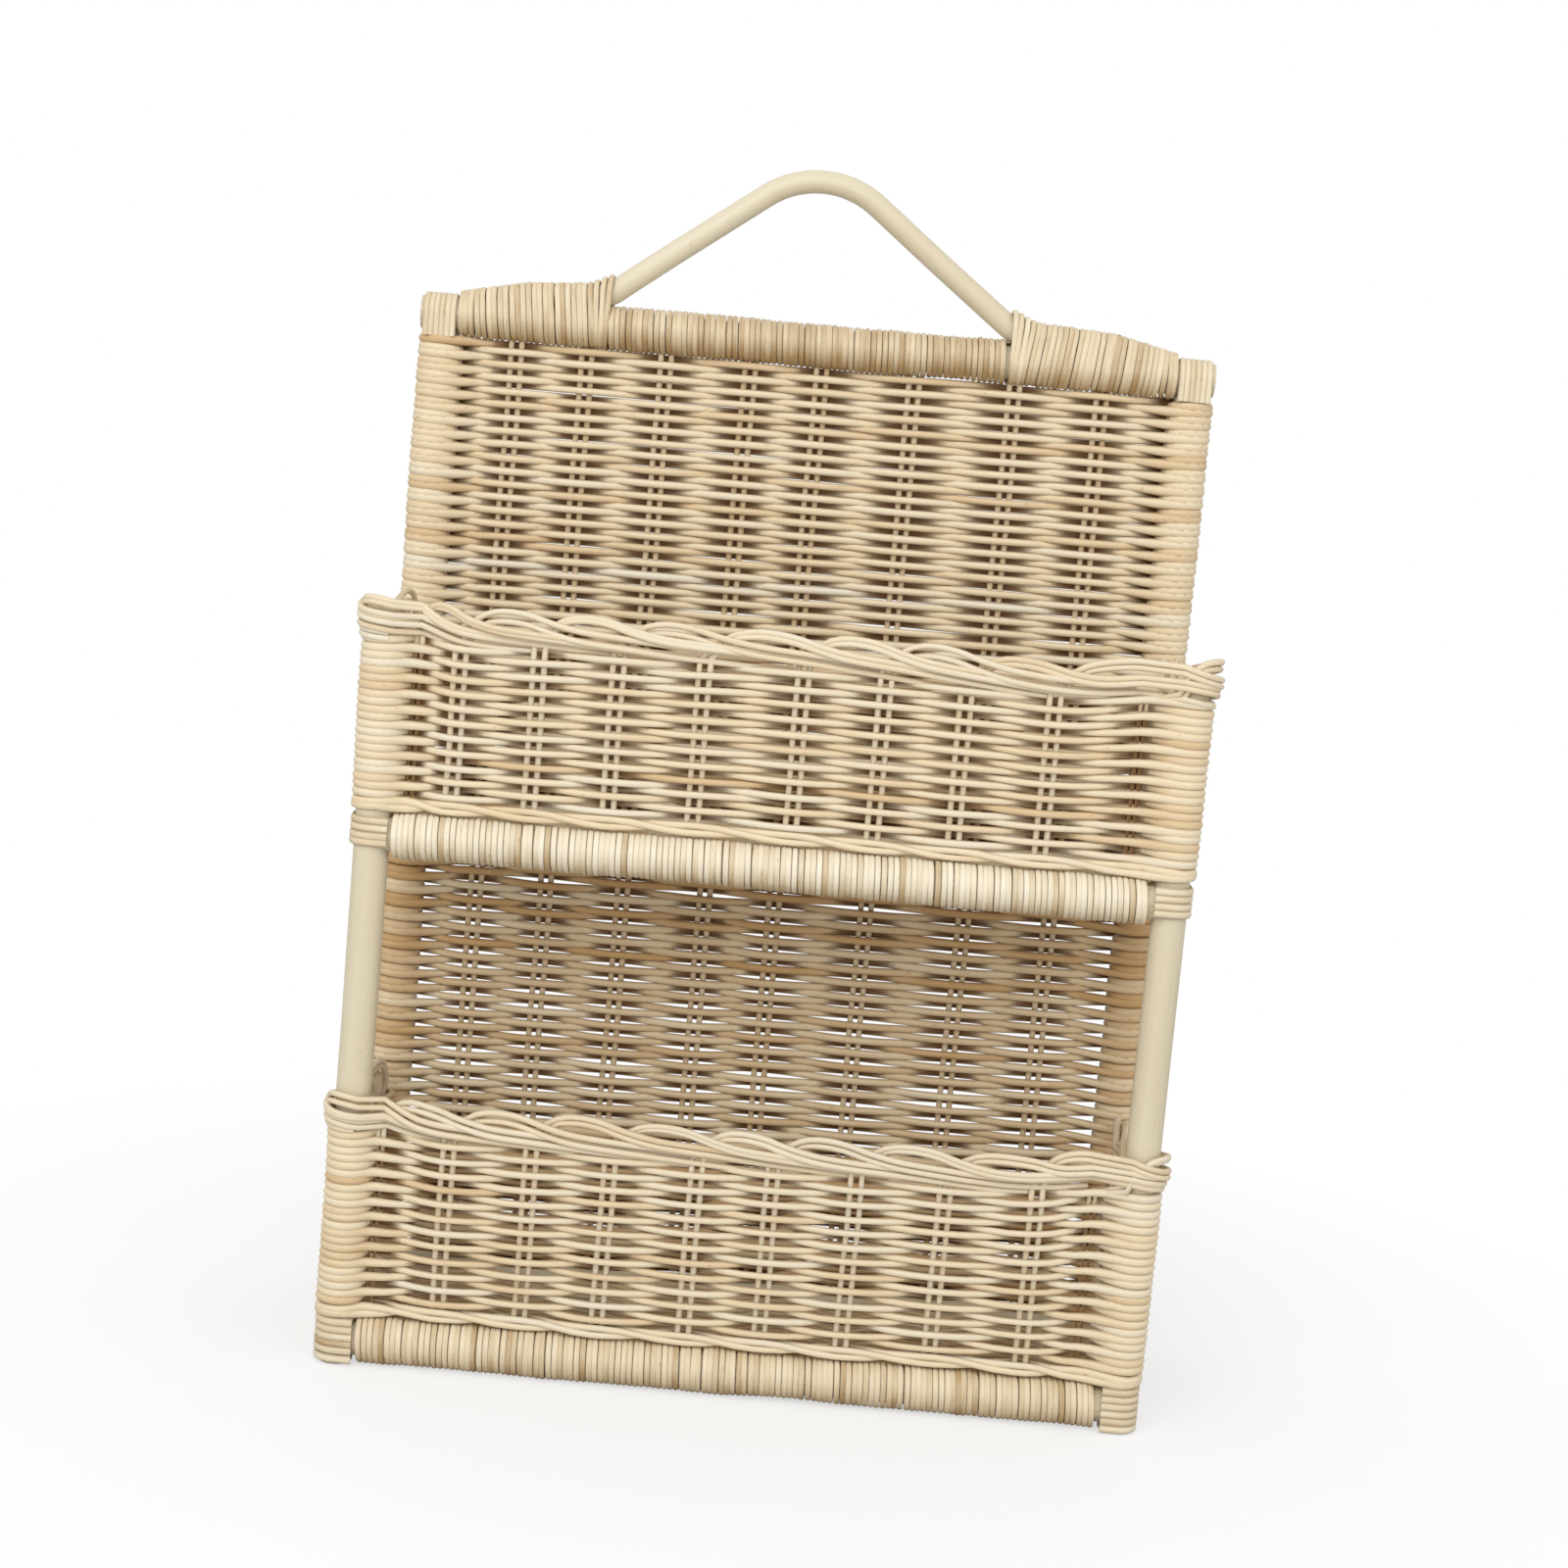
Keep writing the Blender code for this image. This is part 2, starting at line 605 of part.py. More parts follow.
def build_back(panel):
    """Stakes bent double on the rear base rail, and the weave from the side rails up to the top rail."""
    bend = BASE_RAIL_HEIGHT + POLE_RADIUS + CLEARANCE + STAKE_RADIUS
    half = STAKE_PAIR_SPACING / 2
    for number, x in enumerate(panel.places, start=1):
        corners = [(x - half, WEAVE_TOP), (x - half, bend), (x + half, bend), (x + half, WEAVE_TOP)]
        plane = rounded_route(corners, (half - CLEARANCE, half - CLEARANCE), STAKE_BEND_STEPS)
        route = [(place.x, BACK, place.y) for place in plane]
        finish_part(rods("stake", [route], STAKE_RADIUS), f"back_stake_{number}", "stake")
    bottom = BASE_SIDE_RAIL_HEIGHT + POLE_RADIUS + CLEARANCE
    weave = panel.weave("back_weave", WEAVE_TOP - bottom, WEAVER_PITCH, WEAVER_PROFILE)
    weave.location = (0, BACK, bottom)


def build_floor(name, panel, height, bearer_end, weave_end):
    """Floor of a pocket: bearers from front to rear, and a weaver that turns round both side rails."""
    front_edge = FRONT + BINDING_OUTER + CLEARANCE
    for number, x in enumerate(panel.places, start=1):
        bearer = cylinder(BEARER_RADIUS, (x, front_edge, height), (x, bearer_end, height), BEARER_SIDES)
        finish_part(bearer, f"{name}_floor_bearer_{number}", "stake")
    weave = panel.weave(f"{name}_floor_weave", weave_end - front_edge, FLOOR_WEAVER_PITCH, FLOOR_PROFILE)
    weave.rotation_euler = (-math.pi / 2, 0, 0)
    weave.location = (0, front_edge, height)


@dataclass(frozen=True)
class Column:
    """One stake of a pocket: its place in plan, the way out of the pocket, its rods' shifts and radius."""

    place: tuple
    outward: tuple
    shifts: tuple
    radius: float


def rim_lane(phase):
    """Distance outwards and rise of a rim strand at a phase counted in stake gaps."""
    phase %= RIM_STRANDS
    for (start, out, rise), (end, next_out, next_rise) in zip(RIM_PATH_SHARES, RIM_PATH_SHARES[1:]):
        if phase <= end:
            break
    share = (phase - start) / (end - start)
    return ((out + (next_out - out) * share) * RIM_LANE_REACH,
            (rise + (next_rise - rise) * share) * RIM_LANE_DROP)


@dataclass
class Pocket:
    """One woven pocket: stakes on three sides, a weaver that runs to and fro and a plaited rim."""

    name: str
    front_sill: float      # lowest edge of the weave on the front rail
    side_sill: float       # lowest edge of the weave on the side rails
    end_sill: float        # foot of the stakes beside the back posts
    end_place: float       # Y of the stakes beside the back posts
    rim_height: float
    crown: float
    stake_shares: tuple
    corner_shares: tuple

    def __post_init__(self):
        """Works out where the stakes stand and how far the weaver bows round them."""
        self.rim_centre = self.rim_height - RIM_HALF_HEIGHT
        self.front_places = [share * HALF_WIDE for share in self.stake_shares]
        self.side_places = [self.end_place + (FRONT - self.end_place) * share for share in SIDE_STAKE_SHARES]
        posts = ((-HALF_WIDE, WRAP_RADIUS), (HALF_WIDE, WRAP_RADIUS))
        side_ends = ((self.end_place, END_WRAP_RADIUS), (FRONT, WRAP_RADIUS))
        self.front_crests = stake_crests(self.front_places, posts)
        self.side_crests = stake_crests(self.side_places, side_ends)

    def lift(self, x):
        """Rise of the rim at one place across the front."""
        return self.crown * (1 - min(1, abs(x) / HALF_WIDE) ** 2)

    def sill(self, y):
        """Lowest edge of the weave: it climbs from the front rail's binding to the wrapped side rails."""
        share = min(1, max(0, (y - FRONT) / WRAP_RADIUS))
        return self.front_sill + (self.side_sill - self.front_sill) * share

    def corner(self, side):
        """Plan points that carry the weaver round the outside of a front post, from side to front."""
        end = 0 if side == LEFT else -1
        front_run = HALF_WIDE - abs(self.front_places[end])
        front_lead = math.asin((WRAP_RADIUS + self.front_crests[end]) / front_run)
        side_lead = math.asin((WRAP_RADIUS + self.side_crests[-1]) / (self.side_places[-1] - FRONT))
        middle = math.pi / 4 + (front_lead - side_lead) / 2
        forward = (side * math.cos(middle), -math.sin(middle))
        entry = (side * math.sin(middle), math.cos(middle))
        sweep = math.pi / 2 + front_lead + side_lead
        return turn_points((side * HALF_WIDE, FRONT), forward, entry, WRAP_RADIUS, sweep, FRONT_TURN_STEPS)

    def crossings(self, row):
        """Plan points of one row, from the left back end round the front to the right back end."""
        left = [(-HALF_WIDE - out, y) for y, out in zigzag(self.side_places, self.side_crests, row)]
        parity = row + len(left)
        front = [(x, FRONT - out) for x, out in zigzag(self.front_places, self.front_crests, parity)]
        parity += len(front)
        rearward = (self.side_places[::-1], self.side_crests[::-1])
        right = [(HALF_WIDE + out, y) for y, out in zigzag(*rearward, parity)]
        return left + self.corner(LEFT) + front + self.corner(RIGHT)[::-1] + right

    def weave(self):
        """One weaver over and under the stakes of three sides, turning at the stakes by the back posts."""
        top = self.rim_centre - RIM_HALF_HEIGHT - CLEARANCE
        rows = int((top - max(self.front_sill, self.side_sill)) / WEAVER_PITCH)
        sweep = turn_sweep(self.end_place - self.side_places[0], END_WRAP_RADIUS, self.side_crests[0])
        turns = [turn_points((side * HALF_WIDE, self.end_place), (0, 1), (-side, 0), END_WRAP_RADIUS,
                             sweep, STAKE_TURN_STEPS) for side in (LEFT, RIGHT)]

        def height(row, x, y):
            """Middle of a row at one place."""
            sill = self.sill(y)
            return sill + (top + self.lift(x) - sill) * (row + 1 / 2) / rows

        route = running_weave(rows, self.crossings, turns, height)
        finish_part(strand("weave", route, WEAVER_PROFILE), f"{self.name}_weave", "weaver")

    def columns(self):
        """Every stake in order, from the left back end round the front to the right back end."""
        half = STAKE_PAIR_SPACING / 2
        left = [Column((-HALF_WIDE, self.end_place), (LEFT, 0), (0,), END_STAKE_DIAMETER / 2)]
        left += [Column((-HALF_WIDE, y), (LEFT, 0), (-half, half), STAKE_RADIUS) for y in self.side_places]
        front = [Column((x, FRONT), (0, -1), (-half, half), STAKE_RADIUS) for x in self.front_places]
        corners = [Column((share * HALF_WIDE, FRONT + CORNER_STAKE_INSET), (0, -1), (0,), STAKE_RADIUS)
                   for share in self.corner_shares]
        right = [Column((-column.place[0], column.place[1]), (RIGHT, 0), column.shifts, column.radius)
                 for column in left[::-1]]
        return left + corners[:1] + front + corners[1:] + right

    def rim_point(self, place, outward, lane):
        """Point of a rim strand beside a place among the stakes."""
        out, rise = lane
        x, y = place
        return (x + outward[0] * out, y + outward[1] * out, self.rim_centre + rise + self.lift(x))

    def rim_corner(self, side, lane):
        """Points of a rim strand round the outside of a front post, from left to right."""
        out, rise = lane
        radius = WRAP_RADIUS + (out - RIM_INNER_LANE) * RIM_POST_SQUEEZE_SHARE
        diagonal = math.cos(math.pi / 4)
        forward, entry = (side * diagonal, -diagonal), (-diagonal, -side * diagonal)
        centre = (side * HALF_WIDE, FRONT)
        plan = turn_points(centre, forward, entry, radius, RIM_CORNER_SWEEP, RIM_TURN_STEPS)
        return [(x, y, self.rim_centre + rise) for x, y in plan]

    def rim_route(self, columns, number):
        """Route of one rim strand: a point at each stake, one between stakes, and a bow round each post."""
        overrun = END_WRAP_RADIUS + WEAVER_HALF
        first, last = columns[0], columns[-1]
        share = overrun / (self.end_place - self.side_places[0])
        place = (first.place[0], first.place[1] + overrun)
        route = [self.rim_point(place, first.outward, rim_lane(-share - number))]
        for index, (here, after) in enumerate(zip(columns, columns[1:])):
            route.append(self.rim_point(here.place, here.outward, rim_lane(index - number)))
            between = rim_lane(index - number + 1 / 2)
            if here.outward == after.outward:
                middle = [(start + end) / 2 for start, end in zip(here.place, after.place)]
                route.append(self.rim_point(middle, here.outward, between))
            else:
                route += self.rim_corner(LEFT if here.place[0] < 0 else RIGHT, between)
        phase = len(columns) - 1 - number
        route.append(self.rim_point(last.place, last.outward, rim_lane(phase)))
        place = (last.place[0], last.place[1] + overrun)
        route.append(self.rim_point(place, last.outward, rim_lane(phase + share)))
        return route

    def stake(self, column):
        """The rods of one stake, from the sill into the inner lane of the rim."""
        x, y = column.place
        foot = self.end_sill if column.place[1] == self.end_place else self.sill(y)
        top = self.rim_point(column.place, column.outward, rim_lane(0))[2]
        along = (abs(column.outward[1]), abs(column.outward[0]))
        routes = []
        for shift in column.shifts:
            here = (x + along[0] * shift, y + along[1] * shift)
            routes.append([(*here, foot), (*here, top)])
        return rods("stake", routes, column.radius)

    def rim(self):
        """Plaited strands round three sides. Each of them is joined to the stakes that end in it."""
        columns = self.columns()
        for number in range(RIM_STRANDS):
            name = f"{self.name}_rim_{number + 1}"
            core = curve_to_mesh(strand("rim", self.rim_route(columns, number), RIM_PROFILE))
            for column in columns[number::RIM_STRANDS]:
                stake = hide_guide(curve_to_mesh(self.stake(column)), f"{name}_stake")
                add_boolean(core, stake, "UNION")
            finish_part(core, name, "weaver")


def main():
    """Builds the basket from its frame to its rims."""
    back = Panel([share * HALF_WIDE for share in BACK_STAKE_SHARES], STAKE_RADIUS, STAKE_PAIR_SPACING / 2)
    bearer_step = POST_SPACING_WIDE / (FLOOR_BEARERS + 1)
    floor = Panel([bearer_step * (index + 1) - HALF_WIDE for index in range(FLOOR_BEARERS)], BEARER_RADIUS, 0)
    build_posts()
    build_rails(back.reach())
    build_handle()
    build_foot_bindings()
    build_rail_bindings()
    build_post_straps()
    build_lashings()
    build_back(back)
    shelf_rear = shelf_rear_place(back.reach()) - REAR_RAIL_RADIUS - CLEARANCE
    build_floor("upper", floor, SHELF_RAIL_HEIGHT, shelf_rear, shelf_rear)
    base_rear = BACK - POLE_RADIUS - CLEARANCE
    build_floor("lower", floor, BASE_SIDE_RAIL_HEIGHT, base_rear, BACK - back.reach() - CLEARANCE)
    bound = BINDING_OUTER + CLEARANCE
    wrapped = floor.reach() + CLEARANCE
    end_place = BACK - back.reach() - CLEARANCE - END_WRAP_RADIUS / math.cos(END_TURN_HALF_STEP) - WEAVER_HALF
    upper_end_sill = SHELF_RAIL_HEIGHT + POLE_RADIUS + CLEARANCE
    lower_end_sill = BASE_SIDE_RAIL_HEIGHT + wrapped
    pockets = (
        Pocket("upper", SHELF_RAIL_HEIGHT + bound, SHELF_RAIL_HEIGHT + wrapped, upper_end_sill, end_place,
               UPPER_RIM_HEIGHT, UPPER_RIM_CROWN, UPPER_STAKE_SHARES, UPPER_CORNER_SHARES),
        Pocket("lower", BASE_RAIL_HEIGHT + bound, BASE_SIDE_RAIL_HEIGHT + wrapped, lower_end_sill, end_place,
               LOWER_RIM_HEIGHT, LOWER_RIM_CROWN, LOWER_STAKE_SHARES, LOWER_CORNER_SHARES),
    )
    for pocket in pockets:
        pocket.weave()
        pocket.rim()


clear_scene()
PARTS = new_collection("wall_basket")
GUIDES = new_collection("guides")
WEAVER_PROFILE = strand_profile("weaver_profile", WEAVER_THICKNESS, WEAVER_PITCH - CLEARANCE)
RIM_PROFILE = strand_profile("rim_profile", WEAVER_THICKNESS, RIM_STRAND_HEIGHT)
FLOOR_PROFILE = strand_profile("floor_profile", WEAVER_THICKNESS, FLOOR_WEAVER_PITCH - CLEARANCE)
main()
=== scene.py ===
"""Looks of the two-tier rattan wall basket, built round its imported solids.

Every rod, weaver and turn of cane is a strand: a route in metres with the way that it faces, its girth and
its tint. One Geometry Nodes tree gives a strand its section, and one shader group gives it its fibres.
"""

import json
import logging
import math
import random
from collections.abc import Callable, Mapping, Sequence
from dataclasses import dataclass, field, replace
from enum import Enum

import bpy
import numpy as np
from mathutils import Matrix, Vector


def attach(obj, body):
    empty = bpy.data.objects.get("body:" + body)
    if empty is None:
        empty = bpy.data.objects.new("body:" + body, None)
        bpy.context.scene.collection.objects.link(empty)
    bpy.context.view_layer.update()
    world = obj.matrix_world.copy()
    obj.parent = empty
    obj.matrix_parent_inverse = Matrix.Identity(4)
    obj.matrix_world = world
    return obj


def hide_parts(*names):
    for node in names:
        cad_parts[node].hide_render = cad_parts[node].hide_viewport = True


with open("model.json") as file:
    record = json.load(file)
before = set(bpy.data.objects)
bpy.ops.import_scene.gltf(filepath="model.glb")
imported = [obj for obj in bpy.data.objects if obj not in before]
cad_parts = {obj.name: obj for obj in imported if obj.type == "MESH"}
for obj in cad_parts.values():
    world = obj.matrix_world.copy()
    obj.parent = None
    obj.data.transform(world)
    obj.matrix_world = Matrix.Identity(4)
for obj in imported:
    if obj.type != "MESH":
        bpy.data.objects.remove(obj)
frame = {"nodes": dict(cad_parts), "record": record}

LOG = logging.getLogger("basket")
MM = 0.001
TAU = 2 * math.pi
LEFT, RIGHT = -1, 1
SIDES = (("left", LEFT), ("right", RIGHT))
WAVE_STEPS = 4
NO_LENGTH = 1e-12

Colour = tuple[float, float, float]
Spot = tuple[float, float]
Point = tuple[float, float, float]
Plan = list[Spot]
Place = Callable[[float, float, float], Point]
Table = tuple[Spot, ...]


@dataclass(frozen=True)
class PoleFrame:
    """Sizes of the pole frame, the same as in the solids, and how far the weave on a post reaches."""

    half_wide: float = 163.5 * MM
    front: float = -52.3 * MM
    back: float = 52.3 * MM
    pole_radius: float = 7.25 * MM
    base_height: float = 10 * MM
    base_side_height: float = 12 * MM
    shelf_height: float = 223.5 * MM
    top_height: float = 437 * MM
    binding_inner: float = 7.55 * MM
    binding_outer: float = 9.75 * MM
    wrapped_radius: float = 9 * MM


POLES = PoleFrame()


class Slot(Enum):
    """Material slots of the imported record."""

    POLE = "pole"
    BINDING = "binding"
    WEAVER = "weaver"
    STAKE = "stake"


@dataclass(frozen=True)
class Finish:
    """One finish of rattan: its colours from deep to pale, the painted shade of its grooves and hollows, its
    fibres and its sheen.
    """

    name: str
    slot: Slot
    deep: Colour
    middle: Colour
    pale: Colour
    fibre_width: float = 0.45 * MM
    fibre_length: float = 16 * MM
    fibre_strength: float = 0.35
    blotch_length: float = 45 * MM
    blotch_strength: float = 0.5
    tint_strength: float = 0.9
    # Colour of the painted shade, and the band across a strand, from its middle, where its upper and lower
    # edges darken towards it as painted shade in the grooves between strands.
    crevice_shade: Colour = (0.15, 0.066, 0.018)
    crevice_shade_start: float = 0.95 * MM
    crevice_shade_end: float = 1.6 * MM
    crevice_shade_strength: float = 0.34
    # How strongly a strand's face that looks towards the stakes darkens as painted shade where it passes
    # behind them.
    hollow_shade_strength: float = 0.95
    roughness: float = 0.55
    specular: float = 0.25
    bump: float = 0.3


@dataclass(frozen=True)
class Noises:
    """Scales of the noises on a strand, for each metre, and how strongly the flecks and fibres act."""

    blotch_across: float = 160.0
    fleck_along: float = 210.0
    fleck_across: float = 900.0
    fleck_span: Spot = (0.70, 0.80)
    fleck_shade: float = 0.35
    fleck_dip: float = 0.4
    gloss_swing: float = 0.35
    # Range of that facing over which the painted shade of the hollows behind the stakes comes in.
    hollow_shade_span: Spot = (-0.32, -0.74)


class Palette:
    """Finishes of the basket and the materials made from them."""

    colours = ("deep", "middle", "pale", "crevice_shade")
    measures = ("fibre_width", "fibre_length", "fibre_strength", "blotch_length", "blotch_strength",
                "tint_strength", "crevice_shade_start", "crevice_shade_end", "crevice_shade_strength", "hollow_shade_strength",
                "roughness")
    # Painted shade in grooves and hollows, which plain solids don't get.
    strand_only = ("crevice_shade_strength", "hollow_shade_strength")
    bump_depth = 0.2 * MM

    pole = Finish("peeled_pole", Slot.POLE, (0.46, 0.34, 0.18), (0.635, 0.55, 0.385), (0.74, 0.67, 0.51),
                  fibre_width=0.7 * MM, fibre_length=60 * MM, blotch_length=90 * MM, crevice_shade_strength=0.0,
                  hollow_shade_strength=0.0, roughness=0.42, specular=0.4, bump=0.12)
    cane = Finish("wound_cane", Slot.BINDING, (0.40, 0.26, 0.115), (0.68, 0.555, 0.365),
                  (0.83, 0.745, 0.565), fibre_width=0.35 * MM, fibre_length=30 * MM, fibre_strength=0.75,
                  blotch_length=22 * MM, blotch_strength=0.8, crevice_shade_start=0.8 * MM,
                  crevice_shade_end=1.35 * MM, crevice_shade_strength=0.38, roughness=0.45, specular=0.4, bump=0.25)
    pale_cane = replace(cane, name="wound_cane_pale", deep=(0.48, 0.34, 0.17), middle=(0.76, 0.665, 0.49),
                        pale=(0.88, 0.82, 0.665), fibre_strength=0.7, blotch_strength=0.7)
    weaver = Finish("woven_core", Slot.WEAVER, (0.56, 0.355, 0.16), (0.765, 0.635, 0.43),
                    (0.77, 0.705, 0.57))
    rim = Finish("plaited_core", Slot.WEAVER, (0.54, 0.345, 0.16), (0.75, 0.63, 0.44), (0.77, 0.715, 0.59),
                 blotch_strength=0.6, crevice_shade_strength=0.5)
    stake = Finish("upright_core", Slot.STAKE, (0.48, 0.30, 0.13), (0.70, 0.55, 0.35), (0.80, 0.70, 0.515))

    def __init__(self) -> None:
        """Builds the shared shader group and starts with no materials."""
        self.group = self._surface_group(Noises())
        self.made: dict[tuple[str, bool], bpy.types.Material] = {}

    def _surface_group(self, noises: Noises) -> bpy.types.NodeTree:
        """Shader group that turns a strand's own coordinates, tint and stand into colour with painted shade
        in grooves and hollows, roughness and height.

        Args:
            noises: The scales and strengths of its noises.

        Returns:
            The node group, with named inputs and outputs.
        """
        tree = bpy.data.node_groups.new("rattan_surface", "ShaderNodeTree")
        for way, kind, names in (("INPUT", "Vector", ("grain",)), ("INPUT", "Float", ("tint", "stand")),
                                 ("INPUT", "Color", self.colours), ("INPUT", "Float", self.measures),
                                 ("OUTPUT", "Color", ("Colour",)),
                                 ("OUTPUT", "Float", ("Roughness", "Height"))):
            for name in names:
                tree.interface.new_socket(name, in_out=way, socket_type=f"NodeSocket{kind}")
        kit = Nodes(tree)
        into = kit.add("NodeGroupInput").outputs
        along, depth, aside = kit.split(into["grain"])

        def noise(run: bpy.types.NodeSocket, operation: str, scale: object, detail: float,
                  roughness: float) -> bpy.types.NodeSocket:
            """Noise with one scale along the strand and another across it."""
            seat = kit.join(run, *(kit.maths(operation, part, scale) for part in (depth, aside)))
            return kit.noise(seat, detail, roughness)

        fibre = noise(kit.maths("DIVIDE", along, into["fibre_length"]), "DIVIDE", into["fibre_width"],
                      detail=3.0, roughness=0.6)
        blotch = noise(kit.maths("DIVIDE", along, into["blotch_length"]), "MULTIPLY", noises.blotch_across,
                       detail=2.0, roughness=0.55)
        fleck = noise(kit.maths("MULTIPLY", along, noises.fleck_along), "MULTIPLY", noises.fleck_across,
                      detail=1.0, roughness=0.5)
        fleck = kit.ramp(fleck, *noises.fleck_span)
        level: object = 0.5
        for value, strength in ((fibre, "fibre_strength"), (blotch, "blotch_strength"),
                                (into["tint"], "tint_strength")):
            level = kit.maths("MULTIPLY_ADD", kit.maths("SUBTRACT", value, 0.5), into[strength], level)
        level = kit.maths("MULTIPLY_ADD", fleck, -noises.fleck_shade, level, clamp=True)
        colour = kit.mix(into["deep"], into["middle"], kit.ramp(level, 0.0, 0.5))
        colour = kit.mix(colour, into["pale"], kit.ramp(level, 0.5, 1.0))
        # Painted shade: a strand's upper and lower edges darken towards the shade colour, as in the grooves
        # between strands.
        edge = kit.ramp(kit.maths("ABSOLUTE", aside, 0.0), into["crevice_shade_start"], into["crevice_shade_end"])
        edge = kit.maths("MULTIPLY", edge, kit.maths("ADD", fibre, 0.5))
        edge = kit.maths("MULTIPLY", edge, into["crevice_shade_strength"], clamp=True)
        # Painted shade in the hollows: where a strand passes behind the stakes, its face towards them darkens
        # towards the shade colour.
        inward = kit.maths("DIVIDE", kit.maths("MULTIPLY", depth, into["stand"]), into["crevice_shade_end"])
        hollow_shade = kit.maths("MULTIPLY", kit.ramp(inward, *noises.hollow_shade_span), into["hollow_shade_strength"])
        # The colour takes whichever painted shade is stronger, at the edges or in the hollow.
        kit.add("NodeGroupOutput", {
            "Colour": kit.mix(colour, into["crevice_shade"], kit.maths("MAXIMUM", edge, hollow_shade)),
            "Roughness": kit.maths("MULTIPLY_ADD", kit.maths("SUBTRACT", 0.5, fibre), noises.gloss_swing,
                                   into["roughness"], clamp=True),
            "Height": kit.maths("MULTIPLY_ADD", fleck, -noises.fleck_dip, fibre)})
        return tree

    def material(self, finish: Finish, on_strand: bool = True) -> bpy.types.Material:
        """Material in a finish.

        Args:
            finish: The finish to make.
            on_strand: True where the piece has strand attributes, False for a plain solid.

        Returns:
            The material, built once.
        """
        key = (finish.name, on_strand)
        if key in self.made:
            return self.made[key]
        material = bpy.data.materials.new(finish.name if on_strand else f"{finish.name}_solid")
        material.use_nodes = True
        kit = Nodes(material.node_tree)
        values = {name: getattr(finish, name) for name in self.measures}
        values |= {name: (*getattr(finish, name), 1.0) for name in self.colours}
        if on_strand:
            for name, output in (("grain", "Vector"), ("tint", "Fac"), ("stand", "Fac")):
                values[name] = kit.add("ShaderNodeAttribute", attribute_name=name).outputs[output]
        else:
            values |= dict.fromkeys(self.strand_only, 0.0)
            values |= {"grain": kit.add("ShaderNodeTexCoord").outputs["Object"], "tint": 0.5}
        surface = kit.add("ShaderNodeGroup", values, node_tree=self.group).outputs
        bump = kit.add("ShaderNodeBump", {"Strength": finish.bump, "Distance": self.bump_depth,
                                          "Height": surface["Height"]})
        kit.fill(material.node_tree.nodes["Principled BSDF"], {
            "Base Color": surface["Colour"], "Roughness": surface["Roughness"],
            "Normal": bump.outputs["Normal"], "Specular IOR Level": finish.specular})
        self.made[key] = material
        return material


class Nodes:
    """Short calls for placing and joining nodes in one tree."""

    def __init__(self, tree: bpy.types.NodeTree) -> None:
        """Keeps the tree."""
        self.tree = tree

    def fill(self, node: bpy.types.Node, values: Mapping[str | int, object]) -> bpy.types.Node:
        """Joins outputs to a node's inputs, or sets an input where its value is a plain one.

        Args:
            node: The node.
            values: An output or a plain value for each input, by the input's name or number.

        Returns:
            The node.
        """
        for name, value in values.items():
            if isinstance(value, bpy.types.NodeSocket):
                self.tree.links.new(value, node.inputs[name])
            else:
                node.inputs[name].default_value = value
        return node

    def add(self, kind: str, values: Mapping[str | int, object] | None = None,
            **settings: object) -> bpy.types.Node:
        """A new node of one kind.

        Args:
            kind: The kind.
            values: An output or a plain value for each input.
            **settings: The node's own settings, put before its inputs.

        Returns:
            The node.
        """
        node = self.tree.nodes.new(kind)
        for name, setting in settings.items():
            setattr(node, name, setting)
        return self.fill(node, values or {})

    def capture(self, geometry: bpy.types.NodeSocket, kind: str, name: str, value: bpy.types.NodeSocket,
                domain: str = "POINT") -> bpy.types.NodeOutputs:
        """Keeps a value on a geometry.

        Args:
            geometry: The geometry.
            kind: The value's kind.
            name: Its name.
            value: The value.
            domain: Where it is kept.

        Returns:
            The geometry and the value, by name.
        """
        node = self.add("GeometryNodeCaptureAttribute", domain=domain)
        node.capture_items.new(kind, name)
        return self.fill(node, {"Geometry": geometry, name: value}).outputs

    def maths(self, operation: str, first: object, second: object, third: object = 0.0,
              clamp: bool = False) -> bpy.types.NodeSocket:
        """Result of one Math node.

        Args:
            operation: The node's operation.
            first: First value or socket.
            second: Second value or socket.
            third: Third value or socket.
            clamp: Whether the result stays between 0 and 1.

        Returns:
            The result's socket.
        """
        values = dict(enumerate((first, second, third)))
        return self.add("ShaderNodeMath", values, operation=operation, use_clamp=clamp).outputs[0]

    def vector(self, operation: str, values: Mapping[str | int, object]) -> bpy.types.NodeSocket:
        """Result of one Vector Math node."""
        return self.add("ShaderNodeVectorMath", values, operation=operation).outputs[0]

    def split(self, vector: bpy.types.NodeSocket) -> list[bpy.types.NodeSocket]:
        """The three parts of a vector."""
        return list(self.add("ShaderNodeSeparateXYZ", {0: vector}).outputs)

    def join(self, *parts: object) -> bpy.types.NodeSocket:
        """A vector from three parts."""
        return self.add("ShaderNodeCombineXYZ", dict(enumerate(parts))).outputs[0]

    def noise(self, seat: bpy.types.NodeSocket, detail: float, roughness: float) -> bpy.types.NodeSocket:
        """Noise at a place, at scale 1."""
        values = {"Vector": seat, "Scale": 1.0, "Detail": detail, "Roughness": roughness}
        return self.add("ShaderNodeTexNoise", values).outputs[0]

    def ramp(self, value: bpy.types.NodeSocket, low: object, high: object) -> bpy.types.NodeSocket:
        """Share of the way from one value to another, clamped."""
        values = {"Value": value, "From Min": low, "From Max": high}
        return self.add("ShaderNodeMapRange", values).outputs["Result"]

    def mix(self, first: object, second: object, share: bpy.types.NodeSocket) -> bpy.types.NodeSocket:
        """Mix of two colours, which this node has at the inputs 6 and 7."""
        return self.add("ShaderNodeMix", {0: share, 6: first, 7: second}, data_type="RGBA").outputs[2]


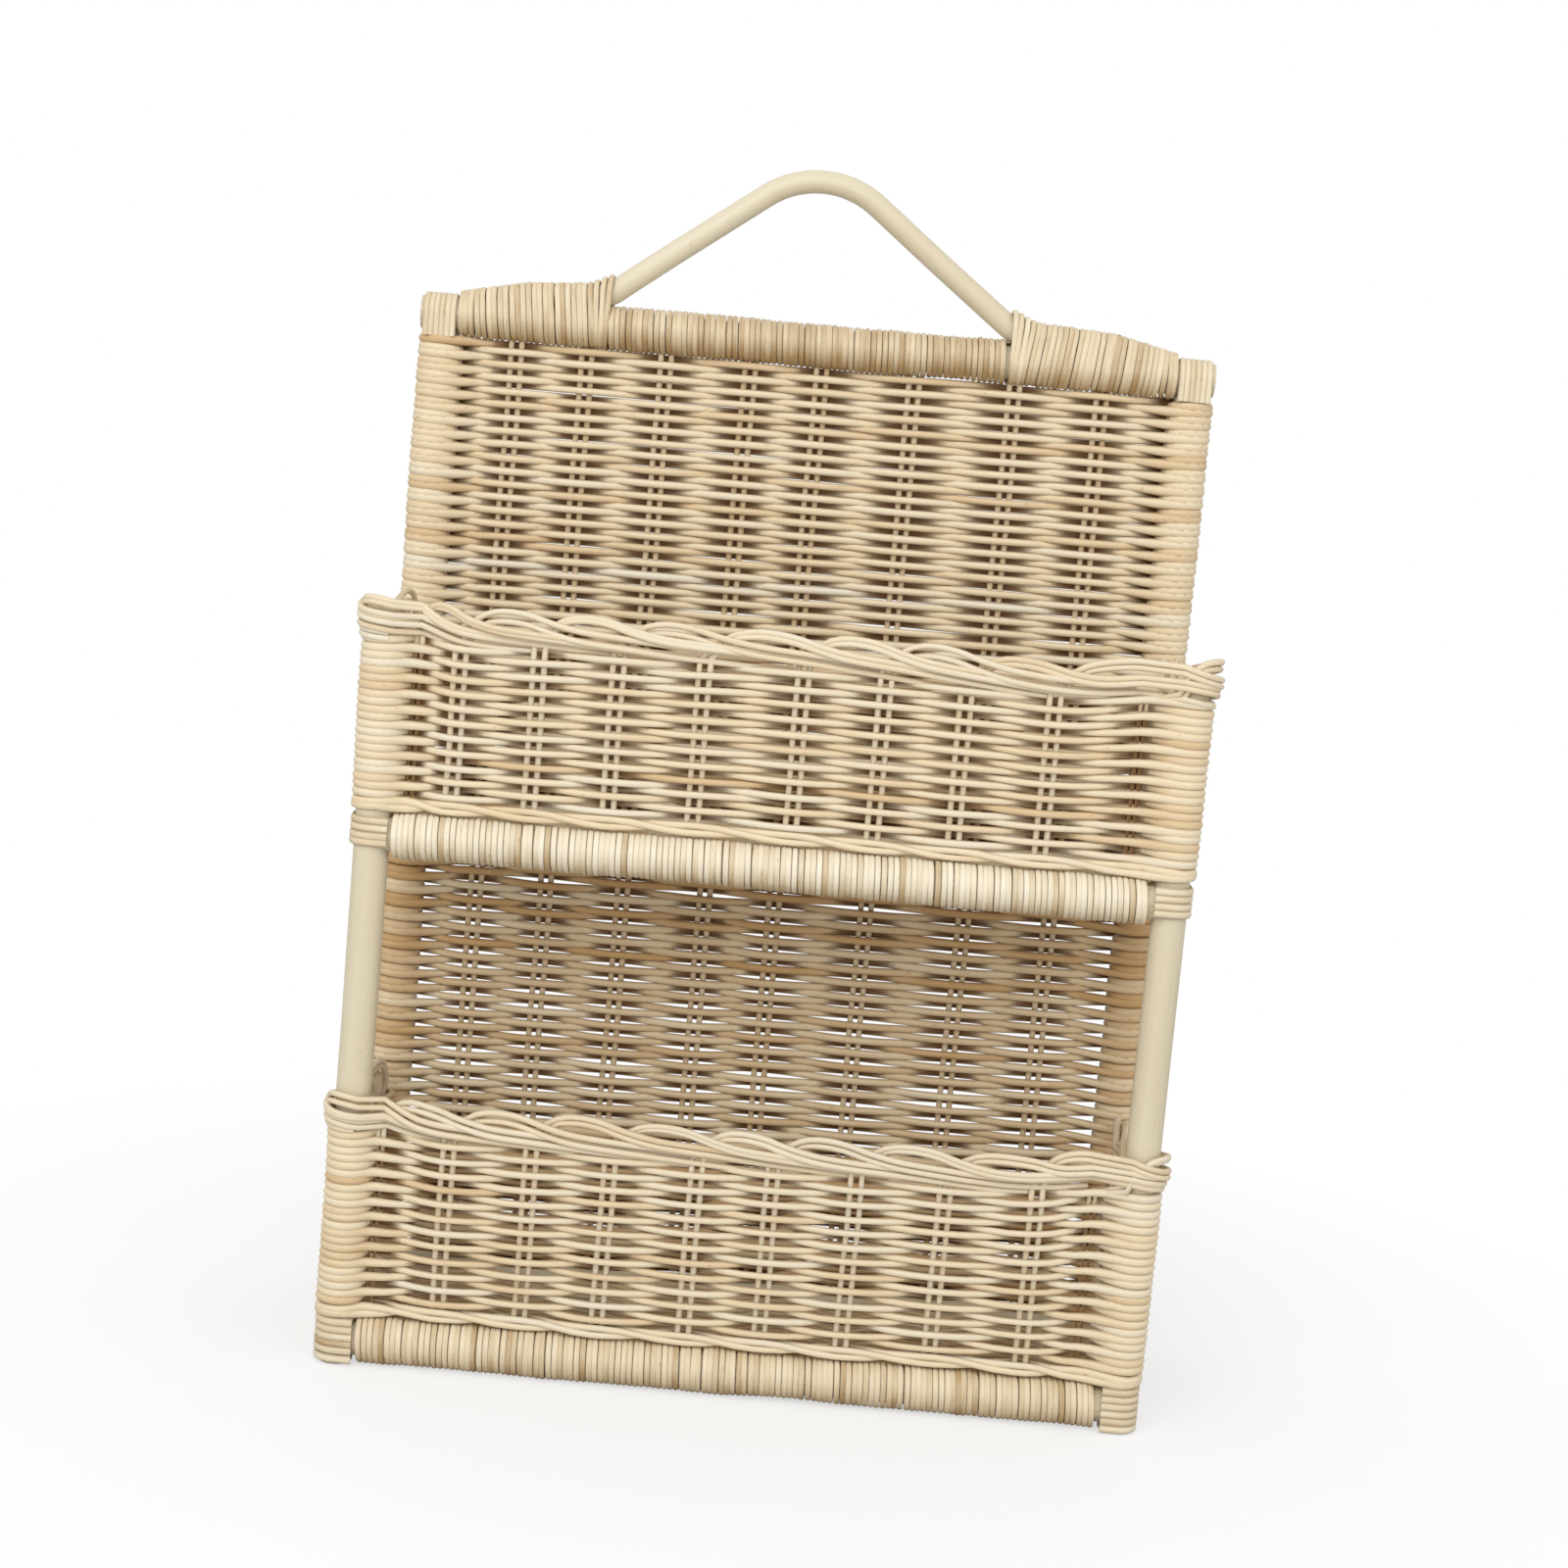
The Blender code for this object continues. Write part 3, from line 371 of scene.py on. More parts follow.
@dataclass
class Strand:
    """One strand: its route, the way it faces, its girth, its tint and the side of the stakes it is on."""

    route: np.ndarray
    outward: np.ndarray
    girth: np.ndarray
    tint: np.ndarray
    stand: np.ndarray

    @classmethod
    def along(cls, route: Sequence, outward: Sequence, tint: float | np.ndarray = 0.5,
              girth: float | np.ndarray = 1.0, stand: float | np.ndarray = 0.0) -> "Strand":
        """A strand along a route.

        Args:
            route: Points in metres.
            outward: The way it faces, once or for each point.
            tint: Tint from 0, deep, to 1, pale, once or for each point.
            girth: Share of the section's size, once or for each point.
            stand: 1 where it passes on the side that it faces, -1 on the other side of the stakes, where its
                face towards them gets painted shade.

        Returns:
            The strand, its facing turned square to its route.
        """
        points = np.array(route, float)
        ahead = np.gradient(points, axis=0)
        ahead /= np.maximum(np.linalg.norm(ahead, axis=1), NO_LENGTH)[:, None]
        facing = np.broadcast_to(np.array(outward, float), points.shape).copy()
        facing -= (facing * ahead).sum(1)[:, None] * ahead
        facing /= np.maximum(np.linalg.norm(facing, axis=1), NO_LENGTH)[:, None]
        return cls(points, facing, *(np.broadcast_to(np.array(values, float), len(points)).copy()
                                     for values in (girth, tint, stand)))


@dataclass(frozen=True)
class Section:
    """Section of a strand: its width along the surface, its thickness and its number of sides."""

    width: float
    thickness: float
    sides: int = 8


@dataclass(frozen=True)
class Wander:
    """How far hand work strays from its line, and over what length."""

    reach: float = 0.45 * MM
    span: float = 55 * MM
    seed: float = 3.0


class Loom:
    """The Geometry Nodes tree that gives every strand its section, and the calls that use it."""

    inputs = (("Width", "Float"), ("Thickness", "Float"), ("Sides", "Int"), ("Wander", "Float"),
              ("Wander Span", "Float"), ("Seed", "Float"), ("Finish", "Material"))
    labels = (("outward", "FLOAT_VECTOR", "vector"), ("girth", "FLOAT", "value"),
              ("tint", "FLOAT", "value"), ("stand", "FLOAT", "value"))
    passing_labels = ("outward", "girth")
    start_spread = 40.0
    noise_swing = 4.0
    crease = math.radians(65)

    def __init__(self, palette: Palette) -> None:
        """Builds the tree.

        Args:
            palette: The materials.
        """
        self.palette = palette
        self.tree = bpy.data.node_groups.new("cane_strand", "GeometryNodeTree")
        face = self.tree.interface
        face.new_socket("Geometry", in_out="INPUT", socket_type="NodeSocketGeometry")
        self.names = {name: face.new_socket(name, in_out="INPUT", socket_type=f"NodeSocket{kind}").identifier
                      for name, kind in self.inputs}
        face.new_socket("Geometry", in_out="OUTPUT", socket_type="NodeSocketGeometry")
        self._fill()

    def _fill(self) -> None:
        """Places the tree's nodes: routes to curves, stray, section, grain, finish."""
        kit = Nodes(self.tree)
        into = kit.add("NodeGroupInput").outputs
        facing, girth = (
            kit.add("GeometryNodeInputNamedAttribute", {"Name": label}, data_type=kind).outputs["Attribute"]
            for label, kind, _ in self.labels[:2])
        curve = kit.add("GeometryNodeMeshToCurve", {"Mesh": into["Geometry"]}).outputs["Curve"]
        stray = kit.add("GeometryNodeSetPosition", {
            "Geometry": curve, "Offset": self._stray_offset(kit, into)})
        turned = kit.add("GeometryNodeSetCurveNormal", {"Curve": stray.outputs["Geometry"], "Normal": facing},
                         mode="FREE")
        sized = kit.add("GeometryNodeSetCurveRadius", {"Curve": turned.outputs["Curve"], "Radius": girth})
        length = kit.add("GeometryNodeSplineParameter").outputs["Length"]
        lengths = kit.capture(sized.outputs["Curve"], "FLOAT", "Length", length)
        start = kit.add("FunctionNodeRandomValue", {3: self.start_spread}, data_type="FLOAT").outputs[1]
        starts = kit.capture(lengths["Geometry"], "FLOAT", "Start", start, "CURVE")
        ring = kit.add("GeometryNodeCurvePrimitiveCircle", {"Radius": 0.5, "Resolution": into["Sides"]})
        shape = kit.add("GeometryNodeTransform", {
            "Geometry": ring.outputs["Curve"],
            "Scale": kit.join(into["Thickness"], into["Width"], 1.0)})
        seat = kit.add("GeometryNodeInputPosition").outputs["Position"]
        seats = kit.capture(shape.outputs["Geometry"], "VECTOR", "Seat", seat)
        sweep = kit.add("GeometryNodeCurveToMesh", {
            "Curve": starts["Geometry"], "Profile Curve": seats["Geometry"], "Scale": girth,
            "Fill Caps": True})
        run = kit.maths("ADD", lengths["Length"], starts["Start"])
        grain = kit.add("GeometryNodeStoreNamedAttribute", {
            "Geometry": sweep.outputs["Mesh"], "Name": "grain",
            "Value": kit.join(run, *kit.split(seats["Seat"])[:2])}, data_type="FLOAT_VECTOR")
        finish = kit.add("GeometryNodeSetMaterial", {"Geometry": grain.outputs["Geometry"],
                                                     "Material": into["Finish"]})
        real = kit.add("GeometryNodeRealizeInstances", {"Geometry": finish.outputs["Geometry"]})
        kit.add("NodeGroupOutput", {"Geometry": real.outputs["Geometry"]})

    def _stray_offset(self, kit: Nodes, into: bpy.types.NodeOutputs) -> bpy.types.NodeSocket:
        """Offset of a point by smooth noise, the same for strands that lie side by side.

        Args:
            kit: The tree's calls.
            into: The group's inputs.

        Returns:
            The offset's socket.
        """
        position = kit.add("GeometryNodeInputPosition").outputs["Position"]
        seat = kit.vector("DIVIDE", {0: position, 1: kit.join(*[into["Wander Span"]] * 3)})
        noise = kit.add("ShaderNodeTexNoise", {"Vector": seat, "W": into["Seed"], "Scale": 1.0,
                                               "Detail": 1.0}, noise_dimensions="4D")
        centred = kit.vector("SUBTRACT", {0: noise.outputs["Color"], 1: (0.5, 0.5, 0.5)})
        reach = kit.maths("MULTIPLY", into["Wander"], self.noise_swing)
        return kit.vector("SCALE", {0: centred, "Scale": reach})

    def make(self, name: str, strands: Sequence[Strand], section: Section, finish: Finish,
             replaces: Sequence[str], wander: Wander = Wander()) -> None:
        """Makes strands into one finished piece that rides on the basket's body and stands for CAD nodes.

        Args:
            name: The piece's name.
            strands: The strands.
            section: Their section.
            finish: Their finish.
            replaces: The CAD nodes that the piece stands for.
            wander: How far the strands stray.
        """
        source = self._routes_object(name, strands)
        modifier = source.modifiers.new("strands", "NODES")
        modifier.node_group = self.tree
        values = {"Width": section.width, "Thickness": section.thickness, "Sides": section.sides,
                  "Wander": wander.reach, "Wander Span": wander.span, "Seed": wander.seed,
                  "Finish": self.palette.material(finish)}
        for key, value in values.items():
            modifier[self.names[key]] = value
        bpy.context.view_layer.update()
        evaluated = source.evaluated_get(bpy.context.evaluated_depsgraph_get())
        mesh = bpy.data.meshes.new_from_object(evaluated)
        mesh.name = name
        bpy.data.objects.remove(source, do_unlink=True)
        mesh.shade_smooth()
        mesh.set_sharp_from_angle(angle=self.crease)
        for label in self.passing_labels:
            if label in mesh.attributes:
                mesh.attributes.remove(mesh.attributes[label])
        settle(in_scene(name, mesh), finish.slot, replaces)
        LOG.info("%s: %d strands, %d faces", name, len(strands), len(mesh.polygons))

    def _routes_object(self, name: str, strands: Sequence[Strand]) -> bpy.types.Object:
        """Mesh of bare edges along the strands' routes, with their facing, girth, tint and stand.

        Args:
            name: Name of the object.
            strands: The strands.

        Returns:
            The object, linked to the scene.
        """
        mesh = bpy.data.meshes.new(f"{name}_routes")
        edges: list[tuple[int, int]] = []
        start = 0
        for strand in strands:
            end = start + len(strand.route)
            edges += zip(range(start, end - 1), range(start + 1, end))
            start = end
        mesh.from_pydata(np.vstack([strand.route for strand in strands]).tolist(), edges, [])
        for label, kind, slot in self.labels:
            values = np.concatenate([getattr(strand, label) for strand in strands])
            mesh.attributes.new(label, kind, "POINT").data.foreach_set(
                slot, values.astype(np.float32).ravel())
        return in_scene(f"{name}_routes", mesh)


def in_scene(name: str, data: bpy.types.ID) -> bpy.types.Object:
    """Puts data into the scene as an object.

    Args:
        name: The object's name.
        data: Its mesh, camera or light.

    Returns:
        The object.
    """
    thing = bpy.data.objects.new(name, data)
    bpy.context.scene.collection.objects.link(thing)
    return thing


def settle(piece: bpy.types.Object, slot: Slot, replaces: Sequence[str]) -> None:
    """Puts a piece on the basket's body and hides the CAD nodes that it stands for.

    Args:
        piece: The piece.
        slot: Its material slot; not used.
        replaces: The CAD nodes.
    """
    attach(piece, "root")
    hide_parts(*replaces)


@dataclass(frozen=True)
class Drift:
    """Values that change smoothly along a strand: points between two fresh ones, spread and middle."""

    every: float
    spread: float
    middle: float = 1.0

    def draw(self, count: int, chance: random.Random) -> np.ndarray:
        """One value for each point.

        Args:
            count: Number of points.
            chance: The seeded source of chance.

        Returns:
            The values.
        """
        knots = max(2, int(count / self.every) + 2)
        fresh = [chance.gauss(self.middle, self.spread) for _ in range(knots)]
        return np.interp(np.linspace(0, knots - 1, count), range(knots), fresh)


def at(table: Table, places: np.ndarray) -> np.ndarray:
    """Values at places, between those of a table of places and values."""
    return np.interp(places, *zip(*table))


def side_passed(row: int, index: int) -> int:
    """Side on which a row passes a stake, 1 or -1, the other one in the next row."""
    return 1 if (row + index) % 2 else -1


def eased(share: float) -> float:
    """Share of the way along a half wave."""
    return (1 - math.cos(math.pi * share)) / 2


def hermite(start: Spot, way_in: Spot, end: Spot, way_out: Spot, steps: int = WAVE_STEPS) -> Plan:
    """Points between two places on a curve that has a direction at both, without the two ends.

    Args:
        start: First place in plan.
        way_in: Unit direction at the start.
        end: Last place in plan.
        way_out: Unit direction at the end.
        steps: Number of steps.

    Returns:
        The inner points.
    """
    reach = math.dist(start, end)
    points = []
    for step in range(1, steps):
        t = step / steps
        a, b = 2 * t**3 - 3 * t**2 + 1, (t**3 - 2 * t**2 + t) * reach
        c, d = 3 * t**2 - 2 * t**3, (t**3 - t**2) * reach
        points.append(tuple(a * p + b * m + c * q + d * n
                            for p, m, q, n in zip(start, way_in, end, way_out)))
    return points


def wave(first: Spot, second: Spot) -> Plan:
    """Inner points of a half wave from one crest to the next.

    Args:
        first: Place along the panel and offset of the first crest.
        second: The same for the next crest.

    Returns:
        The inner points.
    """
    return [(first[0] + (second[0] - first[0]) * share, first[1] + (second[1] - first[1]) * eased(share))
            for share in (step / WAVE_STEPS for step in range(1, WAVE_STEPS))]


def arc(centre: Spot, radius: float, start: float, end: float, step: float) -> Plan:
    """Points on a circle between two headings; a heading of zero is travel along +X with -Y outside.

    Args:
        centre: The circle's centre.
        radius: Its radius.
        start: Heading at the first point.
        end: Heading at the last point.
        step: Largest step between points.

    Returns:
        The points, both ends included.
    """
    count = max(2, math.ceil(abs(end - start) / step))
    headings = [start + (end - start) * index / count for index in range(count + 1)]
    return [(centre[0] + radius * math.sin(a), centre[1] - radius * math.cos(a)) for a in headings]


def smooth(points: Sequence, steps: int) -> np.ndarray:
    """Catmull-Rom curve through points.

    Args:
        points: The points that it passes.
        steps: Steps between two of them.

    Returns:
        The finer route.
    """
    given = np.array(points, float)
    padded = np.vstack([2 * given[0] - given[1], given, 2 * given[-1] - given[-2]])
    fine = []
    for a, b, c, d in zip(padded, padded[1:], padded[2:], padded[3:]):
        for step in range(steps):
            t = step / steps
            fine.append(0.5 * (2 * b + (c - a) * t + (2 * a - 5 * b + 4 * c - d) * t**2
                               + (3 * b - a - 3 * c + d) * t**3))
    fine.append(given[-1])
    return np.array(fine)


@dataclass(frozen=True)
class Turn:
    """A weaver's way towards a pole, round it and back, and the angle turned, in distances from a stake."""

    approach: Plan
    ring: Plan
    parting: Plan
    sweep: float

    @classmethod
    def round_pole(cls, radius: float, crest: float, distance: float, edge: float, passed: int,
                   turns: int, step: float) -> "Turn":
        """The way round a pole that stands ahead of the last stake.

        Args:
            radius: Radius of the weaver's middle on the pole.
            crest: Distance of the weaver's middle from the stakes' line where it passes a stake.
            distance: Distance of the pole ahead of the stake.
            edge: Distance ahead of the stake at which the weaver leaves it.
            passed: Side on which it passes the stake, 1 or -1.
            turns: Whole turns more than the way back needs.
            step: Largest angle between two points on the pole.

        Returns:
            The way, each point as the distance ahead and the distance aside.
        """
        lead = math.asin((radius + crest) / distance)
        sweep = math.pi + 2 * lead + TAU * turns
        count = math.ceil(sweep / step)
        angles = [-passed * (math.pi / 2 + lead - sweep * number / count) for number in range(count + 1)]
        ring = [(distance + radius * math.cos(angle), radius * math.sin(angle)) for angle in angles]
        ahead, aside = math.cos(lead), -passed * math.sin(lead)
        approach = hermite((edge, passed * crest), (1, 0), ring[0], (ahead, aside))
        parting = hermite(ring[-1], (-ahead, aside), (edge, -passed * crest), (-1, 0))
        return cls(approach, ring, parting, sweep)

    def placed(self, place: Callable[[float, float], Spot]) -> "Turn":
        """The same way with its points put in place."""
        plans = (self.approach, self.ring, self.parting)
        return Turn(*([place(ahead, aside) for ahead, aside in plan] for plan in plans), self.sweep)


@dataclass
class PoleWork:
    """The bare poles and the bent handle."""

    loom: Loom
    handle_radius: float = 5 * MM
    handle_rise: float = 69.8 * MM
    half_span: float = 89.5 * MM
    shift: float = -4 * MM
    peak_radius: float = 40 * MM
    bend_radius: float = 18 * MM
    bend_steps: int = 14
    corner_rounds: int = 8
    foot_end: float = 129.45 * MM
    foot_shave: float = 0.25
    handle_step: float = 7 * MM
    handle_girths: Drift = Drift(9, 0.012)
    handle_tints: Drift = Drift(12, 0.09, 0.62)
    post_top: float = 312.0 * MM
    post_ease: float = 0.8 * MM
    post_ease_girth: float = 0.9
    post_end: float = 6 * MM
    post_points: int = 26
    post_girths: Drift = Drift(7, 0.01)
    post_tints: Drift = Drift(8, 0.1, 0.58)
    wander: Wander = Wander(0.3 * MM, 90 * MM)
    sides: int = 28
    seed: int = 11

    @property
    def foot_rise(self) -> float:
        """Height of the handle's feet above the top rail's centre."""
        return POLES.binding_inner + self.handle_radius

    def corner_rise(self) -> float:
        """Rise of the point where the handle's straight legs would meet, found in a few rounds.

        Returns:
            Its height above the handle's feet.
        """
        rise = self.handle_rise - self.foot_rise
        corner = rise
        for _ in range(self.corner_rounds):
            slope = math.atan2(corner, self.half_span)
            corner = rise + self.peak_radius * (1 / math.cos(slope) - 1)
        return corner

    def shaved(self, x: float) -> float:
        """Share of the rod that is shaved off its foot at one place, none on the legs."""
        knee = self.half_span + self.shift * (1 if x > 0 else -1)
        return self.foot_shave * min(1.0, max(0.0, (abs(x) - knee) / (self.foot_end - knee)))

    def handle_line(self) -> list[Spot]:
        """The handle's centre line in its own plane.

        Returns:
            X and height above the feet, for each point.
        """
        corners = [Vector(place) for place in (
            (-self.foot_end, 0), (self.shift - self.half_span, 0), (self.shift, self.corner_rise()),
            (self.shift + self.half_span, 0), (self.foot_end, 0))]
        line = [corners[0]]
        radii = (self.bend_radius, self.peak_radius, self.bend_radius)
        for before, corner, after, radius in zip(corners, corners[1:], corners[2:], radii):
            inward, onward = (before - corner).normalized(), (after - corner).normalized()
            half = inward.angle(onward) / 2
            centre = corner + (inward + onward).normalized() * radius / math.sin(half)
            start = corner + inward * radius / math.tan(half) - centre
            end = corner + onward * radius / math.tan(half) - centre
            line += [centre + start.slerp(end, step / self.bend_steps) * radius
                     for step in range(self.bend_steps + 1)]
        line.append(corners[-1])
        return [(place.x, place.y) for place in line]

    def build(self) -> None:
        """Makes the handle and the two front posts."""
        chance = random.Random(self.seed)
        line = self.handle_line()
        route = []
        for (x, z), (next_x, next_z) in zip(line, line[1:]):
            count = max(1, round(math.dist((x, z), (next_x, next_z)) / self.handle_step))
            route += [(x + (next_x - x) * step / count, z + (next_z - z) * step / count)
                      for step in range(count)]
        route.append(line[-1])
        shaved = np.array([self.shaved(x) for x, _ in route])
        foot = POLES.top_height + self.foot_rise
        points = [(x, POLES.back, foot + z - self.handle_radius * share)
                  for (x, z), share in zip(route, shaved)]
        girth = self.handle_girths.draw(len(points), chance) - shaved
        tint = self.handle_tints.draw(len(points), chance)
        self._rod("handle_rod", "handle", self.handle_radius, points, girth, tint)
        heights = [0, self.post_ease]
        heights += list(np.linspace(self.post_end, self.post_top - self.post_end, self.post_points))
        heights += [self.post_top - self.post_ease, self.post_top]
        for word, side in SIDES:
            girth = self.post_girths.draw(len(heights), chance)
            girth[[0, -1]] *= self.post_ease_girth
            tint = self.post_tints.draw(len(heights), chance)
            points = [(side * POLES.half_wide, POLES.front, z) for z in heights]
            self._rod(f"front_pole_{word}", f"front_post_{word}", POLES.pole_radius, points, girth, tint)

    def _rod(self, name: str, replaces: str, radius: float, points: Sequence[Point], girth: np.ndarray,
             tint: np.ndarray) -> None:
        """Makes one bare rod.

        Args:
            name: The piece's name.
            replaces: The CAD node that it stands for.
            radius: Its radius.
            points: Its route.
            girth: Share of its size for each point.
            tint: Tint for each point.
        """
        self.loom.make(name, [Strand.along(points, (0, -1, 0), tint, girth)],
                       Section(2 * radius, 2 * radius, self.sides), Palette.pole, [replaces], self.wander)


@dataclass
class FlatPanel:
    """A panel woven between two poles: the back, or the floor of a pocket."""

    loom: Loom
    name: str
    replaces: str
    places: Sequence[float]
    half_pair: float
    rod_radius: float
    length: float
    place: Place
    facing: Point
    seed: int
    weaver: float = 2.9 * MM
    pitch: float = 3.05 * MM
    spacing: Table = ((0.0, 1.0),)
    spacing_steps: int = 400
    extra_turns: int = 1
    turn_rise: float = 2.4 * MM
    turn_step: float = math.radians(33)
    press: float = 1.0 * MM
    tied: bool = False
    stray: float = 0.17 * MM
    tints: Drift = Drift(60, 0.17, 0.52)
    girths: Drift = Drift(14, 0.035)
    turn_tint: float = -0.07
    turn_girth: float = 0.4
    turn_spans: Table = ((0.0, 6.0 * MM),)
    # Heights in the panel and the tint taken away there as painted shade, full on a weaver's face towards the
    # stakes and the share below on its outer face.
    painted_shade: Table = ((0.0, 0.0),)
    outer_painted_shade: float = 0.2
    fuller: Table = ((0.0, 0.0),)

    @property
    def crest(self) -> float:
        """Distance of a weaver's crest from the stakes."""
        return self.rod_radius + self.weaver / 2

    def row_plan(self, row: int) -> Plan:
        """Plan of one row from left to right, from crest to crest.

        Args:
            row: The row's number.

        Returns:
            Places along the panel and offsets across it.
        """
        plan: Plan = []
        for index, x in enumerate(self.places):
            offset = self.crest * side_passed(row, index)
            if plan:
                plan += wave(plan[-1], (x - self.half_pair, offset))
            plan += [(x - self.half_pair, offset)] if self.half_pair else []
            plan.append((x + self.half_pair, offset))
        return plan

    def levels(self) -> np.ndarray:
        """Heights of the rows, spaced as the panel's table says.

        Returns:
            The heights, with one more past the top.
        """
        heights = np.linspace(0, self.length, self.spacing_steps)
        pitches = self.pitch * at(self.spacing, heights)
        steps = np.cumsum(2 * np.diff(heights) / (pitches[1:] + pitches[:-1]))
        counted = np.concatenate([[0.0], steps])
        rows = int(counted[-1])
        return np.interp((np.arange(rows + 1) + 0.5) * counted[-1] / rows, counted, heights)

    def turn(self, side: int, row: int, extra_turns: int) -> Turn:
        """Way round the pole at one end of a row.

        Args:
            side: The end.
            row: The row that ends there.
            extra_turns: Whole turns more than the way back needs.

        Returns:
            The way, in the panel's own measures.
        """
        index = len(self.places) - 1 if side == RIGHT else 0
        stake = self.places[index]
        radius = POLES.pole_radius + self.weaver / 2 - self.press
        turn = Turn.round_pole(radius, self.crest, POLES.half_wide - side * stake, self.half_pair,
                               side_passed(row, index), extra_turns, self.turn_step)
        return turn.placed(lambda ahead, aside: (stake + side * ahead, aside))

    def route(self, chance: random.Random) -> np.ndarray:
        """Route of the one weaver in the panel's own measures.

        Args:
            chance: The seeded source of chance.

        Returns:
            Places along the panel, across it and up it.
        """
        levels = self.levels()
        rows = len(levels) - 1
        points: list[Point] = []

        def put(plan: Plan, low: float, high: float) -> None:
            """Adds plan points at heights between two values."""
            last = max(1, len(plan) - 1)
            points.extend((x, y, low + (high - low) * index / last) for index, (x, y) in enumerate(plan))

        for row, (middle, after) in enumerate(zip(levels, levels[1:])):
            here = middle + chance.gauss(0, self.stray)
            side = LEFT if row % 2 else RIGHT
            put(self.row_plan(row)[::side], here, here)
            if row + 1 < rows:
                turn = self.turn(side, row, self.extra_turns)
                spare = (self.turn_rise * turn.sweep / TAU - (after - middle)) / 2
                put(turn.approach, here, here - spare)
                put(turn.ring, here - spare, after + spare)
                put(turn.parting, after + spare, after)
            elif self.tied:
                turn = self.turn(side, row, 0)
                put(turn.approach + turn.ring, here, here)
        return np.array(points)

    def build(self) -> None:
        """Weaves the panel."""
        chance = random.Random(self.seed)
        seats = self.route(chance)
        route = np.array([self.place(*seat) for seat in seats])
        offset = seats[:, 1] / self.crest
        gap = np.maximum(0.0, POLES.half_wide - POLES.wrapped_radius - np.abs(seats[:, 0]))
        near = np.exp(-(gap / at(self.turn_spans, route[:, 2]))**2)
        tint = self.tints.draw(len(route), chance) + self.turn_tint * near
        # Painted shade: tint taken away by height, more on the inner face of a weaver than on its outer face.
        tint -= at(self.painted_shade, route[:, 2]) * at(((-1, 1.0), (1, self.outer_painted_shade)), offset)
        girth = self.girths.draw(len(route), chance) + self.turn_girth * near
        girth += at(self.fuller, route[:, 2]) * (1 - near)
        outward = np.cross(np.gradient(route, axis=0), self.facing)
        across_way = np.subtract(self.place(0, 1, 0), self.place(0, 0, 0))
        stand = np.clip(offset, -1, 1) * np.sign(outward @ across_way)
        self.loom.make(self.name, [Strand.along(route, outward, tint, girth, stand)],
                       Section(self.weaver, self.weaver), Palette.weaver, [self.replaces])


@dataclass
class BackPanel:
    """The woven back and its doubled stakes."""

    loom: Loom
    shares: tuple[float, ...] = (-0.80, -0.61, -0.40, -0.175, 0.015, 0.265, 0.53, 0.765)
    bottom: float = 17.4 * MM
    top: float = 427.9 * MM
    weave_top: float = 427.2 * MM
    weaver: float = 3.22 * MM
    stake: float = 2.6 * MM
    half_pair: float = 2.25 * MM
    bend_points: int = 7
    bend_clear: float = 8 * MM
    leg_points: int = 24
    stake_tints: Drift = Drift(10, 0.12, 0.5)
    stake_girths: Drift = Drift(8, 0.03)
    seed: int = 21
    # Painted shade: the back's weave is darker behind the lower pocket and more so up the bay towards the
    # shelf, with none above it.
    painted_shade: Table = ((78 * MM, 0.42), (92 * MM, 0.12), (145 * MM, 0.2), (180 * MM, 0.42),
                      (215 * MM, 0.6), (226 * MM, 0.0))
    fuller: Table = ((78 * MM, 0.22), (92 * MM, 0.05), (140 * MM, 0.05), (165 * MM, 0.13),
                     (205 * MM, 0.15), (228 * MM, 0.12), (300 * MM, 0.12), (322 * MM, 0.0))
    turn_spans: Table = ((84 * MM, 6 * MM), (92 * MM, 1.5 * MM), (205 * MM, 1.5 * MM), (226 * MM, 6 * MM))
    spacing: Table = ((62 * MM, 0.9), (74 * MM, 1.04), (185 * MM, 1.04), (215 * MM, 0.98),
                      (300 * MM, 0.945), (407 * MM, 0.93))

    def build(self) -> None:
        """Sets the stakes and weaves the panel."""
        places = [share * POLES.half_wide for share in self.shares]
        chance = random.Random(self.seed)
        low = POLES.base_height + POLES.binding_inner + self.stake / 2
        strands = []
        for x in places:
            bend = [(x - self.half_pair * math.cos(a), low + self.half_pair * (1 - math.sin(a)))
                    for a in np.linspace(0, math.pi, self.bend_points)]
            heights = np.linspace(self.top, bend[0][1] + self.bend_clear, self.leg_points)
            line = [(x - self.half_pair, z) for z in heights] + bend
            line += [(x + self.half_pair, z) for z in heights[::-1]]
            points = [(px, POLES.back, pz) for px, pz in line]
            strands.append(Strand.along(points, (0, -1, 0), self.stake_tints.draw(len(points), chance),
                                        self.stake_girths.draw(len(points), chance)))
        self.loom.make("back_stakes", strands, Section(self.stake, self.stake), Palette.stake,
                       [f"back_stake_{number}" for number in range(1, len(places) + 1)])
        FlatPanel(self.loom, "back_weaving", "back_weave", places, self.half_pair, self.stake / 2,
                  self.weave_top - self.bottom,
                  lambda x, across, along: (x, POLES.back + across, self.bottom + along), (0, 0, 1),
                  self.seed + 1, self.weaver, spacing=self.spacing, tied=True, stray=0.2 * MM,
                  girths=Drift(14, 0.05), turn_spans=self.turn_spans, painted_shade=self.painted_shade,
                  fuller=self.fuller).build()


